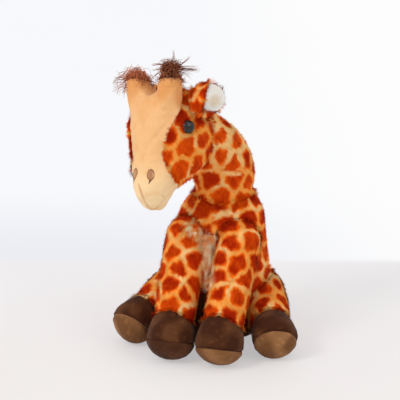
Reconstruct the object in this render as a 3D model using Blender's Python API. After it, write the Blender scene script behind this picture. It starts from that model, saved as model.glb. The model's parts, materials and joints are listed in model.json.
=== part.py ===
"""A seated plush giraffe: stuffed torso, neck, head, ears, legs and tail on ball seats.

The toy faces -Y and its own left side is +X. It sits on Z = 0.
"""

import bpy
import bmesh
from math import acos, cos, hypot, pi, radians, sin, sqrt
from mathutils import Matrix, Vector

MM = 0.001
X = Vector((1, 0, 0))
Y = Vector((0, 1, 0))
Z = Vector((0, 0, 1))
SIDES = (("left", 1), ("right", -1))

# Clearances and cuts that all pieces share
GAP = 0.3 * MM
FLAT = 0.5 * MM
OVERRUN = 30 * MM
WELD = 0.004 * MM
SHARP_ANGLE = radians(38)

# Torso, which leans to its left as it rises: rows of height, half width, half depth
# and shift to the back
TORSO_WIDTH = 108 * MM
TORSO_DEPTH = 102 * MM
TORSO_HEIGHT = 152 * MM
TORSO_LEAN = 6 * MM
TORSO_SIDES = 30
torso_shares = (
    (0.04, 0.80, 0.92, 0.157),
    (0.13, 0.97, 1.00, 0.157),
    (0.28, 1.00, 1.00, 0.137),
    (0.45, 0.99, 0.94, 0.078),
    (0.62, 0.94, 0.82, 0.020),
    (0.78, 0.87, 0.73, 0.000),
    (0.88, 0.81, 0.65, 0.020),
    (0.96, 0.65, 0.59, 0.059),
    (1.00, 0.52, 0.51, 0.059),
)
torso_foot_share = 0.64

# Seat panel: everything of the torso's form under a plane that climbs to the front
SEAT_FRONT_HEIGHT = 66 * MM
SEAT_REAR_HEIGHT = 7 * MM

# Pellet bag between the hips, half above and half below the seat seam
BAG_WIDTH = 26 * MM
BAG_LENGTH = 56 * MM
BAG_THICKNESS = 22 * MM
BAG_BACK = 6 * MM

# Chest panel: long pile on the breast, from just over the seat seam up to the throat
CHEST_PILE = 3.5 * MM
CHEST_TOP_HEIGHT = 116 * MM
CHEST_TOP_WIDTH = 30 * MM
CHEST_FOOT_WIDTH = 15 * MM

# Neck: a ball seated in the top of the torso, and a bent tube that carries the head
NECK_BALL_RADIUS = 30 * MM
NECK_RADIUS = 31 * MM
NECK_SEAT_DROP = 2 * MM
NECK_SEAT_BACK = 3 * MM
NECK_REACH = 65 * MM
NECK_RISE = 72 * MM
NECK_HEADING = radians(36)
NECK_SIDES = 26
NECK_COLLAR_ANGLE = radians(12)
neck_shares = (
    (0.00, 0.17, 1.00),
    (0.02, 0.33, 1.02),
    (0.11, 0.52, 0.99),
    (0.34, 0.74, 0.95),
    (0.62, 0.89, 0.87),
)

# Head, about its centre on the turning axis: rows of height, forward shift,
# front reach, back reach and half width
HEAD_WIDTH = 76 * MM
HEAD_DEPTH = 80 * MM
CROWN_HEIGHT = 42 * MM
MUZZLE_DROP = 76 * MM
HEAD_SIDES = 28
HEAD_YAW = radians(-21.2)
HEAD_PITCH = radians(-9.3)
HEAD_ROLL = radians(-6.4)
crown_shares = (
    (1.00, 0.175, 0.125, 0.150, 0.155),
    (0.90, 0.100, 0.320, 0.285, 0.310),
    (0.71, 0.040, 0.440, 0.365, 0.390),
    (0.43, 0.000, 0.512, 0.431, 0.455),
    (0.10, 0.000, 0.531, 0.469, 0.494),
)
muzzle_shares = (
    (0.13, 0.000, 0.525, 0.475, 0.500),
    (0.31, 0.000, 0.519, 0.465, 0.480),
    (0.47, 0.075, 0.450, 0.450, 0.420),
    (0.60, 0.165, 0.390, 0.425, 0.350),
    (0.73, 0.255, 0.340, 0.240, 0.245),
    (0.84, 0.288, 0.270, 0.180, 0.190),
    (0.93, 0.294, 0.180, 0.150, 0.145),
    (1.00, 0.288, 0.080, 0.070, 0.070),
)
# How far to the front the neck's seat still has to clear the turning head
NAPE_REACH = 5 * MM
nape_foot_share = 0.80

# Face panel on the head's front: rows of height over the muzzle's drop, half width
# over the head's width, and the panel's back plane over the head's depth
FACE_TOP = 60 * MM
face_shares = (
    (0.50, 0.316, 0.150),
    (0.26, 0.349, 0.150),
    (0.10, 0.335, 0.150),
    (-0.10, 0.272, 0.175),
    (-0.30, 0.237, 0.225),
    (-0.46, 0.270, 0.275),
    (-0.58, 0.320, 0.312),
    (-0.66, 0.400, 0.331),
    (-1.40, 0.600, 0.331),
)
# Chin gusset: the line from the face panel's back edge to the throat
chin_line_shares = ((0.60, 1.0), (0.76, 0.0), (0.81, -1.4))

# Horns on the crown, and their hair tufts
HORN_RADIUS = 12.5 * MM
HORN_TIP_RADIUS = 11.5 * MM
HORN_SPREAD_FOOT = 32 * MM
HORN_SPREAD_TIP = 42 * MM
HORN_FOOT_HEIGHT = 14 * MM
HORN_TIP_HEIGHT = 49 * MM
HORN_FOOT_FORWARD = 24 * MM
HORN_TIP_FORWARD = 27 * MM
HORN_SIDES = 16
TUFT_WIDTH = 37 * MM
TUFT_HEIGHT = 24 * MM
TUFT_RISE = 7 * MM

# Safety eyes: dome, shank and washer
EYE_HEIGHT = 3 * MM
EYE_ANGLE = radians(25)
EYE_RADIUS = 6.4 * MM
EYE_DOME = 4 * MM
EYE_RECESS = 1 * MM
EYE_SHANK_RADIUS = 2.2 * MM
EYE_SHANK_LENGTH = 6.5 * MM
EYE_WASHER_RADIUS = 5.6 * MM
EYE_WASHER_THICKNESS = 1.8 * MM
EYE_SIDES = 20
# Embroidered nostrils on the face panel
NOSTRIL_SPREAD = 19 * MM
NOSTRIL_DROP = 39 * MM
NOSTRIL_WIDTH = 6.5 * MM
NOSTRIL_LENGTH = 9.5 * MM
NOSTRIL_THREAD = 0.8 * MM

# Ears: a cupped leaf on a rolled root, with a lining
EAR_LENGTH = 32 * MM
EAR_WIDTH = 32 * MM
EAR_CUP = 11 * MM
EAR_CURL = 4 * MM
EAR_SKIN = 2.4 * MM
EAR_BULGE = 9 * MM
EAR_LINING = 1.4 * MM
EAR_MARGIN = 2 * MM
EAR_ROOT_RADIUS = 3.5 * MM
EAR_ROOT_LENGTH = 14 * MM
EAR_ROOT_HEIGHT = 13 * MM
EAR_LEAN_BACK = radians(8)
# The right ear is sewn on further back than the left and leans back with it
EAR_SET_BACK = radians(24)
ear_width_shares = ((0.0, 0.38), (0.2, 0.74), (0.45, 1.0), (0.7, 0.97), (0.9, 0.68), (1.0, 0.34))

# Mane: ridges along the neck's back and down the head's back
MANE_WIDTH = 9 * MM
MANE_PILE = 9 * MM
MANE_SIDES = 10
MANE_STEPS = 7
mane_neck_span_shares = (0.20, 0.62)
mane_head_span_shares = (0.95, 0.62)

# Front legs: a ball at the shoulder, a straight column, and the hoof
SHOULDER_SPREAD = 52 * MM
SHOULDER_HEIGHT = 108 * MM
SHOULDER_FORWARD = 26 * MM
SHOULDER_RADIUS = 23 * MM
FRONT_ANKLE_RADIUS = 20.5 * MM
FRONT_HOOF_RADIUS = 24 * MM
FRONT_HOOF_FORWARD = 81 * MM
FRONT_SOLE_TILT = radians(22)
FRONT_SOLE_DROP = 9 * MM

# Hind legs: a ball at the hip, a thigh that points forward and out, and the hoof
HIP_SPREAD = 84 * MM
HIP_HEIGHT = 45 * MM
HIP_BACK = 12 * MM
HIP_RADIUS = 25.5 * MM
HIND_ANKLE_RADIUS = 20 * MM
HIND_HOOF_RADIUS = 22.5 * MM
HIND_HOOF_SPREAD = 145 * MM
HIND_HOOF_FORWARD = 51 * MM
HIND_SOLE_TILT = radians(52)
HIND_SOLE_TURN = radians(20)
HIND_SOLE_DROP = 4 * MM

# How far the legs swing from rest: the front ones forward and up, the hind ones apart
FRONT_LEG_SWING = radians(35)
HIND_LEG_SWING = radians(30)

LEG_SIDES = 20
column_shares = ((0.0, 1.0), (0.3, 0.96), (0.6, 0.72), (0.85, 0.25), (1.0, 0.0))
hoof_collar_shares = ((-0.72, 0.88), (-0.50, 0.955), (-0.25, 0.99))
hoof_ankle_share = 0.78
hoof_dome_share = 0.76

# Tail: a root ball, a thin tube and a hair tuft that lies on the ground
TAIL_ROOT_RADIUS = 8 * MM
TAIL_RADIUS = 5.2 * MM
TAIL_ROOT_HEIGHT = 50 * MM
TAIL_ROOT_SINK = 1.5 * MM
TAIL_REACH = 42 * MM
TAIL_TUFT_RADIUS = 9.5 * MM
TAIL_TUFT_LENGTH = 30 * MM
TAIL_SIDES = 12
tail_shares = ((0.0, 0.0), (0.20, 0.06), (0.46, 0.30), (0.66, 0.62), (0.80, 0.86))

# Colours: base colour and roughness
finishes = {
    "plush_pattern": ((0.72, 0.28, 0.07), 0.95),
    "peach_velour": ((0.88, 0.64, 0.40), 0.90),
    "cream_pile": ((0.88, 0.78, 0.66), 0.95),
    "dark_velour": ((0.10, 0.055, 0.035), 0.85),
    "sole_velour": ((0.24, 0.13, 0.08), 0.85),
    "brown_hair": ((0.22, 0.10, 0.06), 0.95),
    "white_lining": ((0.90, 0.86, 0.80), 0.92),
    "black_gloss": ((0.015, 0.012, 0.010), 0.15),
    "washer_plastic": ((0.80, 0.80, 0.78), 0.45),
    "pellet_cloth": ((0.85, 0.83, 0.78), 0.90),
}


def clear_scene():
    for item in list(bpy.data.objects):
        bpy.data.objects.remove(item, do_unlink=True)


def make_material(name):
    colour, roughness = finishes[name]
    material = bpy.data.materials.new(name)
    material.use_nodes = True
    shader = material.node_tree.nodes["Principled BSDF"]
    shader.inputs["Base Color"].default_value = (*colour, 1)
    shader.inputs["Roughness"].default_value = roughness
    shader.inputs["Metallic"].default_value = 0
    return material


def mesh_object(name, points, faces):
    """A new object from points and faces, with all faces pointing out."""
    mesh = bpy.data.meshes.new(name)
    mesh.from_pydata([tuple(point) for point in points], [], faces)
    item = bpy.data.objects.new(name, mesh)
    bpy.context.scene.collection.objects.link(item)
    shape = bmesh.new()
    shape.from_mesh(mesh)
    bmesh.ops.recalc_face_normals(shape, faces=shape.faces)
    shape.to_mesh(mesh)
    shape.free()
    return item


def ring(centre, side, fore, half_side, front, back, count):
    """Points round an egg-shaped section: its fore and back halves have their own reach."""
    points = []
    for index in range(count):
        angle = 2 * pi * index / count
        reach = front if sin(angle) > 0 else back
        points.append(centre + side * (half_side * cos(angle)) + fore * (reach * sin(angle)))
    return points


def loft(name, rings, closed=False):
    """Skin a run of rings of equal counts. A ring of one point is a pole."""
    points = []
    starts = []
    for section in rings:
        starts.append(len(points))
        points.extend(section)
    faces = []
    pairs = list(zip(range(len(rings) - 1), range(1, len(rings))))
    if closed:
        pairs.append((len(rings) - 1, 0))
    for low, high in pairs:
        faces.extend(band(starts[low], len(rings[low]), starts[high], len(rings[high])))
    if not closed and len(rings[0]) > 1:
        faces.append(tuple(range(len(rings[0]))))
    if not closed and len(rings[-1]) > 1:
        faces.append(tuple(range(starts[-1], starts[-1] + len(rings[-1]))))
    return mesh_object(name, points, faces)


def band(low, low_count, high, high_count):
    """Faces between two rings, either of which may be a pole."""
    count = max(low_count, high_count)
    faces = []
    for index in range(count):
        after = (index + 1) % count
        if low_count == 1:
            faces.append((low, high + after, high + index))
        elif high_count == 1:
            faces.append((low + index, low + after, high))
        else:
            faces.append((low + index, low + after, high + after, high + index))
    return faces


def smooth_rows(rows, steps):
    """Rows read from a smooth curve through the given ones, with steps to each span."""
    result = []
    last = len(rows) - 1
    for index in range(last):
        before = rows[max(index - 1, 0)]
        start = rows[index]
        end = rows[index + 1]
        after = rows[min(index + 2, last)]
        for step in range(steps):
            along = step / steps
            result.append(tuple(spline(values, along) for values in zip(before, start, end, after)))
    result.append(tuple(rows[-1]))
    return result


def spline(values, along):
    """One value on the Catmull-Rom curve between the middle two of four values."""
    before, start, end, after = values
    leave = (end - before) / 2
    arrive = (after - start) / 2
    square = along * along
    cube = square * along
    return (
        start * (2 * cube - 3 * square + 1)
        + leave * (cube - 2 * square + along)
        + end * (3 * square - 2 * cube)
        + arrive * (cube - square)
    )


def across(direction):
    """Two directions square to the given one and to each other."""
    side = direction.orthogonal().normalized()
    if abs(direction.dot(X)) < sqrt(1 / 2):
        side = (X - direction * direction.dot(X)).normalized()
    return side, direction.cross(side).normalized()


def turned(name, centre, direction, profile, count, closed=False):
    """A solid of revolution. The profile lists distance along the axis and radius."""
    axis = direction.normalized()
    side, fore = across(axis)
    rings = []
    for along, radius in profile:
        middle = centre + axis * along
        if radius > 0:
            rings.append(ring(middle, side, fore, radius, radius, radius, count))
        else:
            rings.append([middle])
    return loft(name, rings, closed)


def ball_profile(radius, steps, start=-pi / 2, end=pi / 2):
    """Distance and radius along a ball's axis between two latitudes."""
    profile = []
    for step in range(steps + 1):
        latitude = start + (end - start) * step / steps
        across_radius = radius * cos(latitude)
        if abs(abs(latitude) - pi / 2) < radians(1):
            across_radius = 0
        profile.append((radius * sin(latitude), across_radius))
    return profile


def round_about(radius, count):
    """The radius at which a faceted ball of that count still clears a true one."""
    return (radius + GAP) / cos(pi / count) ** 2


def socket_cutter(centre, radius, count):
    return turned("socket", centre, Z, ball_profile(round_about(radius, count), count // 2), count)


def grown(item, distance):
    """A copy of a closed form, moved out along its own normals."""
    mesh = item.data.copy()
    normals = [vertex.normal.copy() for vertex in mesh.vertices]
    for vertex, normal in zip(mesh.vertices, normals):
        vertex.co += normal * distance
    copy = bpy.data.objects.new(item.name + "_grown", mesh)
    copy.matrix_world = item.matrix_world.copy()
    bpy.context.scene.collection.objects.link(copy)
    return copy


def duplicate(item, name):
    copy = bpy.data.objects.new(name, item.data.copy())
    bpy.context.scene.collection.objects.link(copy)
    return copy


def discard(*items):
    for item in items:
        bpy.data.objects.remove(item, do_unlink=True)


def carve(target, cutter, operation="DIFFERENCE", keep=False):
    """Cut, join or intersect the target with the cutter, and drop the cutter."""
    modifier = target.modifiers.new("carve", "BOOLEAN")
    modifier.operation = operation
    modifier.object = cutter
    modifier.solver = "EXACT"
    graph = bpy.context.evaluated_depsgraph_get()
    mesh = bpy.data.meshes.new_from_object(target.evaluated_get(graph))
    target.modifiers.clear()
    target.data = mesh
    weld(target)
    if not keep:
        discard(cutter)
    return target


def weld(item):
    """Join points that a cut left closer than any real detail."""
    shape = bmesh.new()
    shape.from_mesh(item.data)
    bmesh.ops.remove_doubles(shape, verts=shape.verts, dist=WELD)
    bmesh.ops.dissolve_degenerate(shape, edges=shape.edges, dist=WELD)
    shape.to_mesh(item.data)
    shape.free()


def half_space(point, normal, reach):
    """A block with one face through the point, which fills the side the normal shows."""
    side, fore = across(normal)
    rings = []
    for along in (0, reach):
        middle = point + normal * along
        rings.append([
            middle + side * (reach * a) + fore * (reach * b)
            for a, b in ((-1, -1), (1, -1), (1, 1), (-1, 1))
        ])
    return loft("half_space", rings)


def flatten(item):
    """Press the form flat where it rests on the ground."""
    return carve(item, half_space(Vector((0, 0, 0)), -Z, TORSO_HEIGHT * 2))


def prism(name, outline, direction, start, end):
    """A straight bar of the outline's section between two distances along a direction."""
    rings = []
    for along in (start, end):
        rings.append([point + direction * along for point in outline])
    return loft(name, rings)


# Torso, seat and chest


def torso_form(name):
    rings = []
    foot = torso_shares[0]
    rings.append(torso_ring(-FLAT, foot[1] * torso_foot_share, foot[2] * torso_foot_share, foot[3]))
    for height, width, depth, back in smooth_rows(torso_shares, 2):
        rings.append(torso_ring(height * TORSO_HEIGHT, width, depth, back))
    return loft(name, rings)


def torso_ring(height, width, depth, back):
    centre = Vector((lean(height), back * TORSO_DEPTH / 2, height))
    half_width = width * TORSO_WIDTH / 2
    half_depth = depth * TORSO_DEPTH / 2
    return ring(centre, X, Y, half_width, half_depth, half_depth, TORSO_SIDES)


def lean(height):
    """How far the trunk's middle stands to its left at a height."""
    return TORSO_LEAN * (max(height, 0) / TORSO_HEIGHT) ** 2


def torso_reach(height, forward):
    """How far the torso's form reaches along Y at a height, to the front or the back."""
    rows = smooth_rows(torso_shares, 4)
    nearest = min(rows, key=lambda row: abs(row[0] * TORSO_HEIGHT - height))
    half_depth = TORSO_DEPTH / 2
    if forward:
        return (nearest[3] - nearest[2]) * half_depth
    return (nearest[3] + nearest[2]) * half_depth


def seat_plane():
    """A point on the seat seam and the seam's upward normal."""
    front = Vector((0, torso_reach(SEAT_FRONT_HEIGHT, True), SEAT_FRONT_HEIGHT))
    rear = Vector((0, torso_reach(SEAT_REAR_HEIGHT, False), SEAT_REAR_HEIGHT))
    slope = (rear - front).normalized()
    return front, slope, X.cross(slope).normalized()


def bag_form(name, margin=0.0):
    front, slope, normal = seat_plane()
    steps = (BAG_BACK - front.y) / slope.y
    centre = front + slope * steps
    rings = []
    for along, radius in ball_profile(1.0, 8):
        middle = centre + slope * (along * (BAG_LENGTH / 2 + margin))
        if radius == 0:
            rings.append([middle])
            continue
        wide = radius * (BAG_WIDTH / 2 + margin)
        thick = radius * (BAG_THICKNESS / 2 + margin)
        rings.append(ring(middle, X, normal, wide, thick, thick, LEG_SIDES))
    return loft(name, rings)


def chest_block():
    """The breast between the shoulders, narrower toward the seat."""
    foot = SEAT_FRONT_HEIGHT + GAP
    rings = []
    for height, width in ((foot, CHEST_FOOT_WIDTH), (CHEST_TOP_HEIGHT, CHEST_TOP_WIDTH)):
        rings.append([
            Vector((lean(height) + sign * width / 2, depth, height))
            for sign, depth in ((-1, 0), (1, 0), (1, -TORSO_DEPTH), (-1, -TORSO_DEPTH))
        ])
    return loft("chest_block", rings)


def make_trunk(neck_centre):
    """The torso and its seat panel on either side of the seam, the chest pile and the bag."""
    front, _, normal = seat_plane()
    reach = TORSO_HEIGHT * 2
    form = torso_form("form")
    body = duplicate(form, "body")
    for _, sign in SIDES:
        carve(body, hip_room(sign))
        carve(body, shoulder_room(sign))

    torso = duplicate(body, "torso")
    carve(torso, half_space(front + normal * (GAP / 2), -normal, reach))
    carve(torso, socket_cutter(neck_centre, NECK_BALL_RADIUS, NECK_SIDES))
    carve(torso, bag_form("bag_pocket", GAP))
    carve(torso, tail_socket())

    seat = duplicate(body, "seat_panel")
    carve(seat, half_space(front - normal * (GAP / 2), normal, reach))
    carve(seat, bag_form("bag_pocket", GAP))
    flatten(seat)
    discard(body)

    chest = grown(form, CHEST_PILE)
    chest.name = "chest_panel"
    carve(chest, chest_block(), "INTERSECT")
    carve(chest, grown(form, GAP))
    for _, sign in SIDES:
        carve(chest, shoulder_room(sign))
    discard(form)
    return torso, seat, chest, bag_form("pellet_bag")


# Legs


def shoulder(sign):
    aside = lean(SHOULDER_HEIGHT) + sign * SHOULDER_SPREAD / 2
    return Vector((aside, -SHOULDER_FORWARD, SHOULDER_HEIGHT))


def front_hoof_centre(sign):
    """The two front hooves stand side by side and just clear each other."""
    aside = FRONT_HOOF_RADIUS + GAP
    place = Vector((sign * aside, -FRONT_HOOF_FORWARD, 0))
    return place + Z * hoof_height(shoulder(sign), place, FRONT_HOOF_RADIUS)


def hoof_height(joint, place, radius):
    """How high the middle of a hoof stands whose domed end just rests on the ground."""
    height = radius
    for _ in range(6):
        axis = (joint - place - Z * height).normalized()
        level = sqrt(1 - axis.z * axis.z)
        height = radius * hypot(hoof_dome_share * axis.z, level) - FLAT
    return height


def hip(sign):
    return Vector((sign * HIP_SPREAD / 2, HIP_BACK, HIP_HEIGHT))


def hind_hoof_centre(sign):
    place = Vector((sign * HIND_HOOF_SPREAD / 2, -HIND_HOOF_FORWARD, 0))
    return place + Z * hoof_height(hip(sign), place, HIND_HOOF_RADIUS)


def column_profile(length, ball_radius, ankle_radius, hoof_radius, with_ball):
    """A ball, then a tapering column that ends at the ankle seam."""
    profile = ball_profile(ball_radius, 5, -pi / 2, 0)[:-1] if with_ball else []
    ankle = length - hoof_radius * hoof_ankle_share - GAP / 2
    for along, share in smooth_rows(column_shares, 2):
        profile.append((along * ankle, ankle_radius + (ball_radius - ankle_radius) * share))
    return profile


def hoof_profile(length, hoof_radius):
    """From the ankle seam over the hoof's widest place to its far end."""
    ankle = length - hoof_radius * hoof_ankle_share + GAP / 2
    profile = [(ankle, hoof_radius * hoof_collar_shares[0][1])]
    for along, share in hoof_collar_shares[1:]:
        profile.append((length + along * hoof_radius, share * hoof_radius))
    for along, radius in ball_profile(hoof_radius, 6, 0, pi / 2):
        profile.append((length + along * hoof_dome_share, radius))
    return profile


def leg_room(joint, hoof_centre, radii, swing):
    """The room that a leg's ball and column sweep as the leg turns from rest by the swing."""
    ball_radius, ankle_radius, hoof_radius = radii
    axis = hoof_centre - joint
    room = round_about(ball_radius, LEG_SIDES)
    latitude = acos((ball_radius + GAP) / room)
    column = []
    for along, wide in column_profile(axis.length, ball_radius, ankle_radius, hoof_radius, False):
        if along > room * sin(latitude):
            column.append((along, wide + GAP))
    rest = turned("rest", joint, axis, ball_profile(room, 6, -pi / 2, latitude) + column, LEG_SIDES)
    swung = turned("swung", joint, axis, column, LEG_SIDES)
    about = Matrix.Translation(joint)
    swung.data.transform(about @ swing @ about.inverted())
    return hull_of(rest, swung)


def hull_of(*items):
    """One convex form around the given ones, which it takes the place of."""
    shape = bmesh.new()
    for item in items:
        for vertex in item.data.vertices:
            shape.verts.new(vertex.co)
    bmesh.ops.convex_hull(shape, input=shape.verts)
    inner = [vertex for vertex in shape.verts if not vertex.link_faces]
    bmesh.ops.delete(shape, geom=inner, context="VERTS")
    mesh = bpy.data.meshes.new("hull")
    shape.to_mesh(mesh)
    shape.free()
    hull = bpy.data.objects.new("hull", mesh)
    bpy.context.scene.collection.objects.link(hull)
    discard(*items)
    return hull


def shoulder_room(sign):
    radii = (SHOULDER_RADIUS, FRONT_ANKLE_RADIUS, FRONT_HOOF_RADIUS)
    swing = Matrix.Rotation(-FRONT_LEG_SWING, 4, X)
    return leg_room(shoulder(sign), front_hoof_centre(sign), radii, swing)


def hip_room(sign):
    radii = (HIP_RADIUS, HIND_ANKLE_RADIUS, HIND_HOOF_RADIUS)
    swing = Matrix.Rotation(sign * HIND_LEG_SWING, 4, Z)
    return leg_room(hip(sign), hind_hoof_centre(sign), radii, swing)


def make_leg(kind, name, joint, hoof_centre, radii, sole_point, sole_normal):
    """The plush column, the hoof's upper and the sole, seamed to each other."""
    ball_radius, ankle_radius, hoof_radius = radii
    axis = hoof_centre - joint
    column = column_profile(axis.length, ball_radius, ankle_radius, hoof_radius, True)
    leg = turned(kind + "_leg_" + name, joint, axis, column, LEG_SIDES)
    hoof = turned(kind + "_hoof_" + name, joint, axis, hoof_profile(axis.length, hoof_radius), LEG_SIDES)
    sole = duplicate(hoof, kind + "_sole_" + name)
    reach = hoof_radius * 4
    carve(hoof, half_space(sole_point - sole_normal * (GAP / 2), sole_normal, reach))
    carve(sole, half_space(sole_point + sole_normal * (GAP / 2), -sole_normal, reach))
    for piece in (hoof, sole):
        flatten(piece)
    return leg, hoof, sole


def make_front_leg(name, sign):
    centre = front_hoof_centre(sign)
    down = Vector((0, -sin(FRONT_SOLE_TILT), -cos(FRONT_SOLE_TILT)))
    radii = (SHOULDER_RADIUS, FRONT_ANKLE_RADIUS, FRONT_HOOF_RADIUS)
    return make_leg("front", name, shoulder(sign), centre, radii, centre + down * FRONT_SOLE_DROP, down)


def make_hind_leg(name, sign):
    centre = hind_hoof_centre(sign)
    ahead = Vector((sign * sin(HIND_SOLE_TURN), -cos(HIND_SOLE_TURN), 0))
    down = ahead * sin(HIND_SOLE_TILT) - Z * cos(HIND_SOLE_TILT)
    radii = (HIP_RADIUS, HIND_ANKLE_RADIUS, HIND_HOOF_RADIUS)
    return make_leg("hind", name, hip(sign), centre, radii, centre + down * HIND_SOLE_DROP, down)


# Tail


def tail_root():
    back = torso_reach(TAIL_ROOT_HEIGHT, False)
    return Vector((0, back - TAIL_ROOT_SINK, TAIL_ROOT_HEIGHT))


def tail_socket():
    return socket_cutter(tail_root(), TAIL_ROOT_RADIUS, TAIL_SIDES)


def make_tail():
    root = tail_root()
    fall = root.z - TAIL_TUFT_RADIUS + FLAT
    path = [
        root + Y * (along * TAIL_REACH) - Z * (down * fall)
        for along, down in smooth_rows(tail_shares, 3)
    ]
    tail = turned("tail", root, Z, ball_profile(TAIL_ROOT_RADIUS, TAIL_SIDES // 2), TAIL_SIDES)
    tube = path_tube("tail_tube", path, TAIL_RADIUS, TAIL_SIDES)
    carve(tail, tube, "UNION")

    end = path[-1]
    heading = (path[-1] - path[-2]).normalized()
    level = Vector((0, heading.y, 0)).normalized()
    middle = Vector((0, end.y, TAIL_TUFT_RADIUS - FLAT)) + level * (TAIL_TUFT_LENGTH / 2 - TAIL_RADIUS)
    profile = [
        (along * TAIL_TUFT_LENGTH / 2, radius * TAIL_TUFT_RADIUS)
        for along, radius in ball_profile(1.0, 8)
    ]
    tuft = turned("tail_tuft", middle, level, profile, TAIL_SIDES)
    carve(tuft, grown(tail, GAP))
    flatten(tuft)
    return tail, tuft


def path_tube(name, path, radius, count):
    """A round tube along a path that lies in a plane through the up direction."""
    rings = []
    for index, point in enumerate(path):
        before = path[max(index - 1, 0)]
        after = path[min(index + 1, len(path) - 1)]
        tangent = (after - before).normalized()
        side = tangent.cross(Z)
        side = side.normalized() if side.length > 0 else X
        fore = side.cross(tangent).normalized()
        rings.append(ring(point, side, fore, radius, radius, radius, count))
    return loft(name, rings)


# Neck


def neck_seat():
    height = TORSO_HEIGHT - NECK_SEAT_DROP
    return Vector((lean(height), NECK_SEAT_BACK, height))


def neck_ahead():
    return Vector((-sin(NECK_HEADING), -cos(NECK_HEADING), 0))


def head_matrix():
    """The head's frame: its origin is the centre of the head on its turning axis."""
    centre = neck_seat() + neck_ahead() * NECK_REACH + Z * NECK_RISE
    turn = Matrix.Rotation(HEAD_YAW, 4, "Z")
    turn = turn @ Matrix.Rotation(HEAD_PITCH, 4, "X") @ Matrix.Rotation(HEAD_ROLL, 4, "Y")
    return Matrix.Translation(centre) @ turn


def neck_path():
    """Points up the middle of the neck, each with its radius."""
    seat = neck_seat()
    ahead = neck_ahead()
    rows = []
    for reach, rise, wide in smooth_rows(neck_shares, 3):
        point = seat + ahead * (reach * NECK_REACH) + Z * (rise * NECK_RISE)
        rows.append((point, wide * NECK_RADIUS))
    return rows


def make_neck_form(name):
    """The ball with the bent tube above it, as one run of rings."""
    seat = neck_seat()
    side = neck_ahead().cross(Z).normalized()
    rings = []
    for along, radius in ball_profile(NECK_BALL_RADIUS, 9, -pi / 2, NECK_COLLAR_ANGLE):
        if radius == 0:
            rings.append([seat + Z * along])
        else:
            fore = side.cross(Z).normalized()
            rings.append(ring(seat + Z * along, side, fore, radius, radius, radius, NECK_SIDES))
    rows = neck_path()
    for index, (point, radius) in enumerate(rows):
        tangent = neck_tangent(rows, index)
        fore = side.cross(tangent).normalized()
        rings.append(ring(point, side, fore, radius, radius, radius, NECK_SIDES))
    return loft(name, rings)


def neck_tangent(rows, index):
    before = rows[max(index - 1, 0)][0]
    after = rows[min(index + 1, len(rows) - 1)][0]
    return (after - before).normalized()


def head_rows():
    """Rows of the head's form in metres: height, forward shift, front, back, half width."""
    rows = []
    for height, shift, front, back, width in crown_shares:
        rows.append((height * CROWN_HEIGHT, shift, front, back, width))
    for drop, shift, front, back, width in muzzle_shares:
        rows.append((-drop * MUZZLE_DROP, shift, front, back, width))
    sized = []
    for height, shift, front, back, width in smooth_rows(rows, 2):
        sized.append((
            height,
            shift * HEAD_DEPTH,
            front * HEAD_DEPTH,
            back * HEAD_DEPTH,
            width * HEAD_WIDTH,
        ))
    return sized


def swept_radius(row):
    """The largest radius that the head's back and sides pass through as the head turns."""
    _, shift, front, back, width = row
    reach = 0.0
    for index in range(HEAD_SIDES):
        angle = 2 * pi * index / HEAD_SIDES
        forward = shift + (front if sin(angle) > 0 else back) * sin(angle)
        if forward <= NAPE_REACH:
            reach = max(reach, hypot(width * cos(angle), forward))
    return reach


def nape_cutter():
    """A turned seat about the head's axis, in which the back of the head turns."""
    profile = []
    for row in reversed(head_rows()):
        if row[0] < -nape_foot_share * MUZZLE_DROP:
            continue
        profile.append((row[0], (swept_radius(row) + GAP) / cos(pi / HEAD_SIDES)))
    low, high = profile[0], profile[-1]
    profile.insert(0, (low[0] - NAPE_REACH, 0))
    profile.append((high[0] + OVERRUN, high[1]))
    profile.append((high[0] + OVERRUN, 0))
    cutter = turned("nape", Vector((0, 0, 0)), Z, profile, HEAD_SIDES)
    cutter.data.transform(head_matrix())
    return cutter


def make_neck():
    form = make_neck_form("neck")
    mane = mane_neck(form)
    neck = carve(form, nape_cutter())
    carve(mane, nape_cutter())
    return neck, mane


def mane_neck(neck_form):
    """A ridge of pile along the neck's back, seated on it."""
    rows = neck_path()
    nape = head_matrix().to_3x3() @ Y
    start, end = mane_neck_span_shares
    rings = []
    for step in range(MANE_STEPS + 1):
        place = start + (end - start) * step / MANE_STEPS
        index = round(place * (len(rows) - 1))
        point, radius = rows[index]
        tangent = neck_tangent(rows, index)
        out = Y.lerp(nape, place)
        out = (out - tangent * out.dot(tangent)).normalized()
        side = tangent.cross(out).normalized()
        fade = sqrt(sin(pi * (step + 1) / (MANE_STEPS + 2)))
        half = MANE_WIDTH / 2 * fade
        tall = MANE_PILE * fade
        rings.append(ring(point + out * radius, side, out, half, tall, tall, MANE_SIDES))
    mane = loft("mane_neck", rings)
    carve(mane, grown(neck_form, GAP))
    return mane


# Head


def head_form(name):
    rings = []
    for height, shift, front, back, width in head_rows():
        rings.append(ring(Vector((0, -shift, height)), X, -Y, width, front, back, HEAD_SIDES))
    return loft(name, rings)


def head_point(height, angle, sign):
    """A place on the head's form at a height and an angle ahead of its side, and its normal."""
    row = min(head_rows(), key=lambda item: abs(item[0] - height))
    _, shift, front, back, width = row
    reach = front if angle > 0 else back
    point = Vector((sign * width * cos(angle), -shift - reach * sin(angle), height))
    normal = Vector((sign * cos(angle) / width, -sin(angle) / reach, 0)).normalized()
    return point, normal


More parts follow.
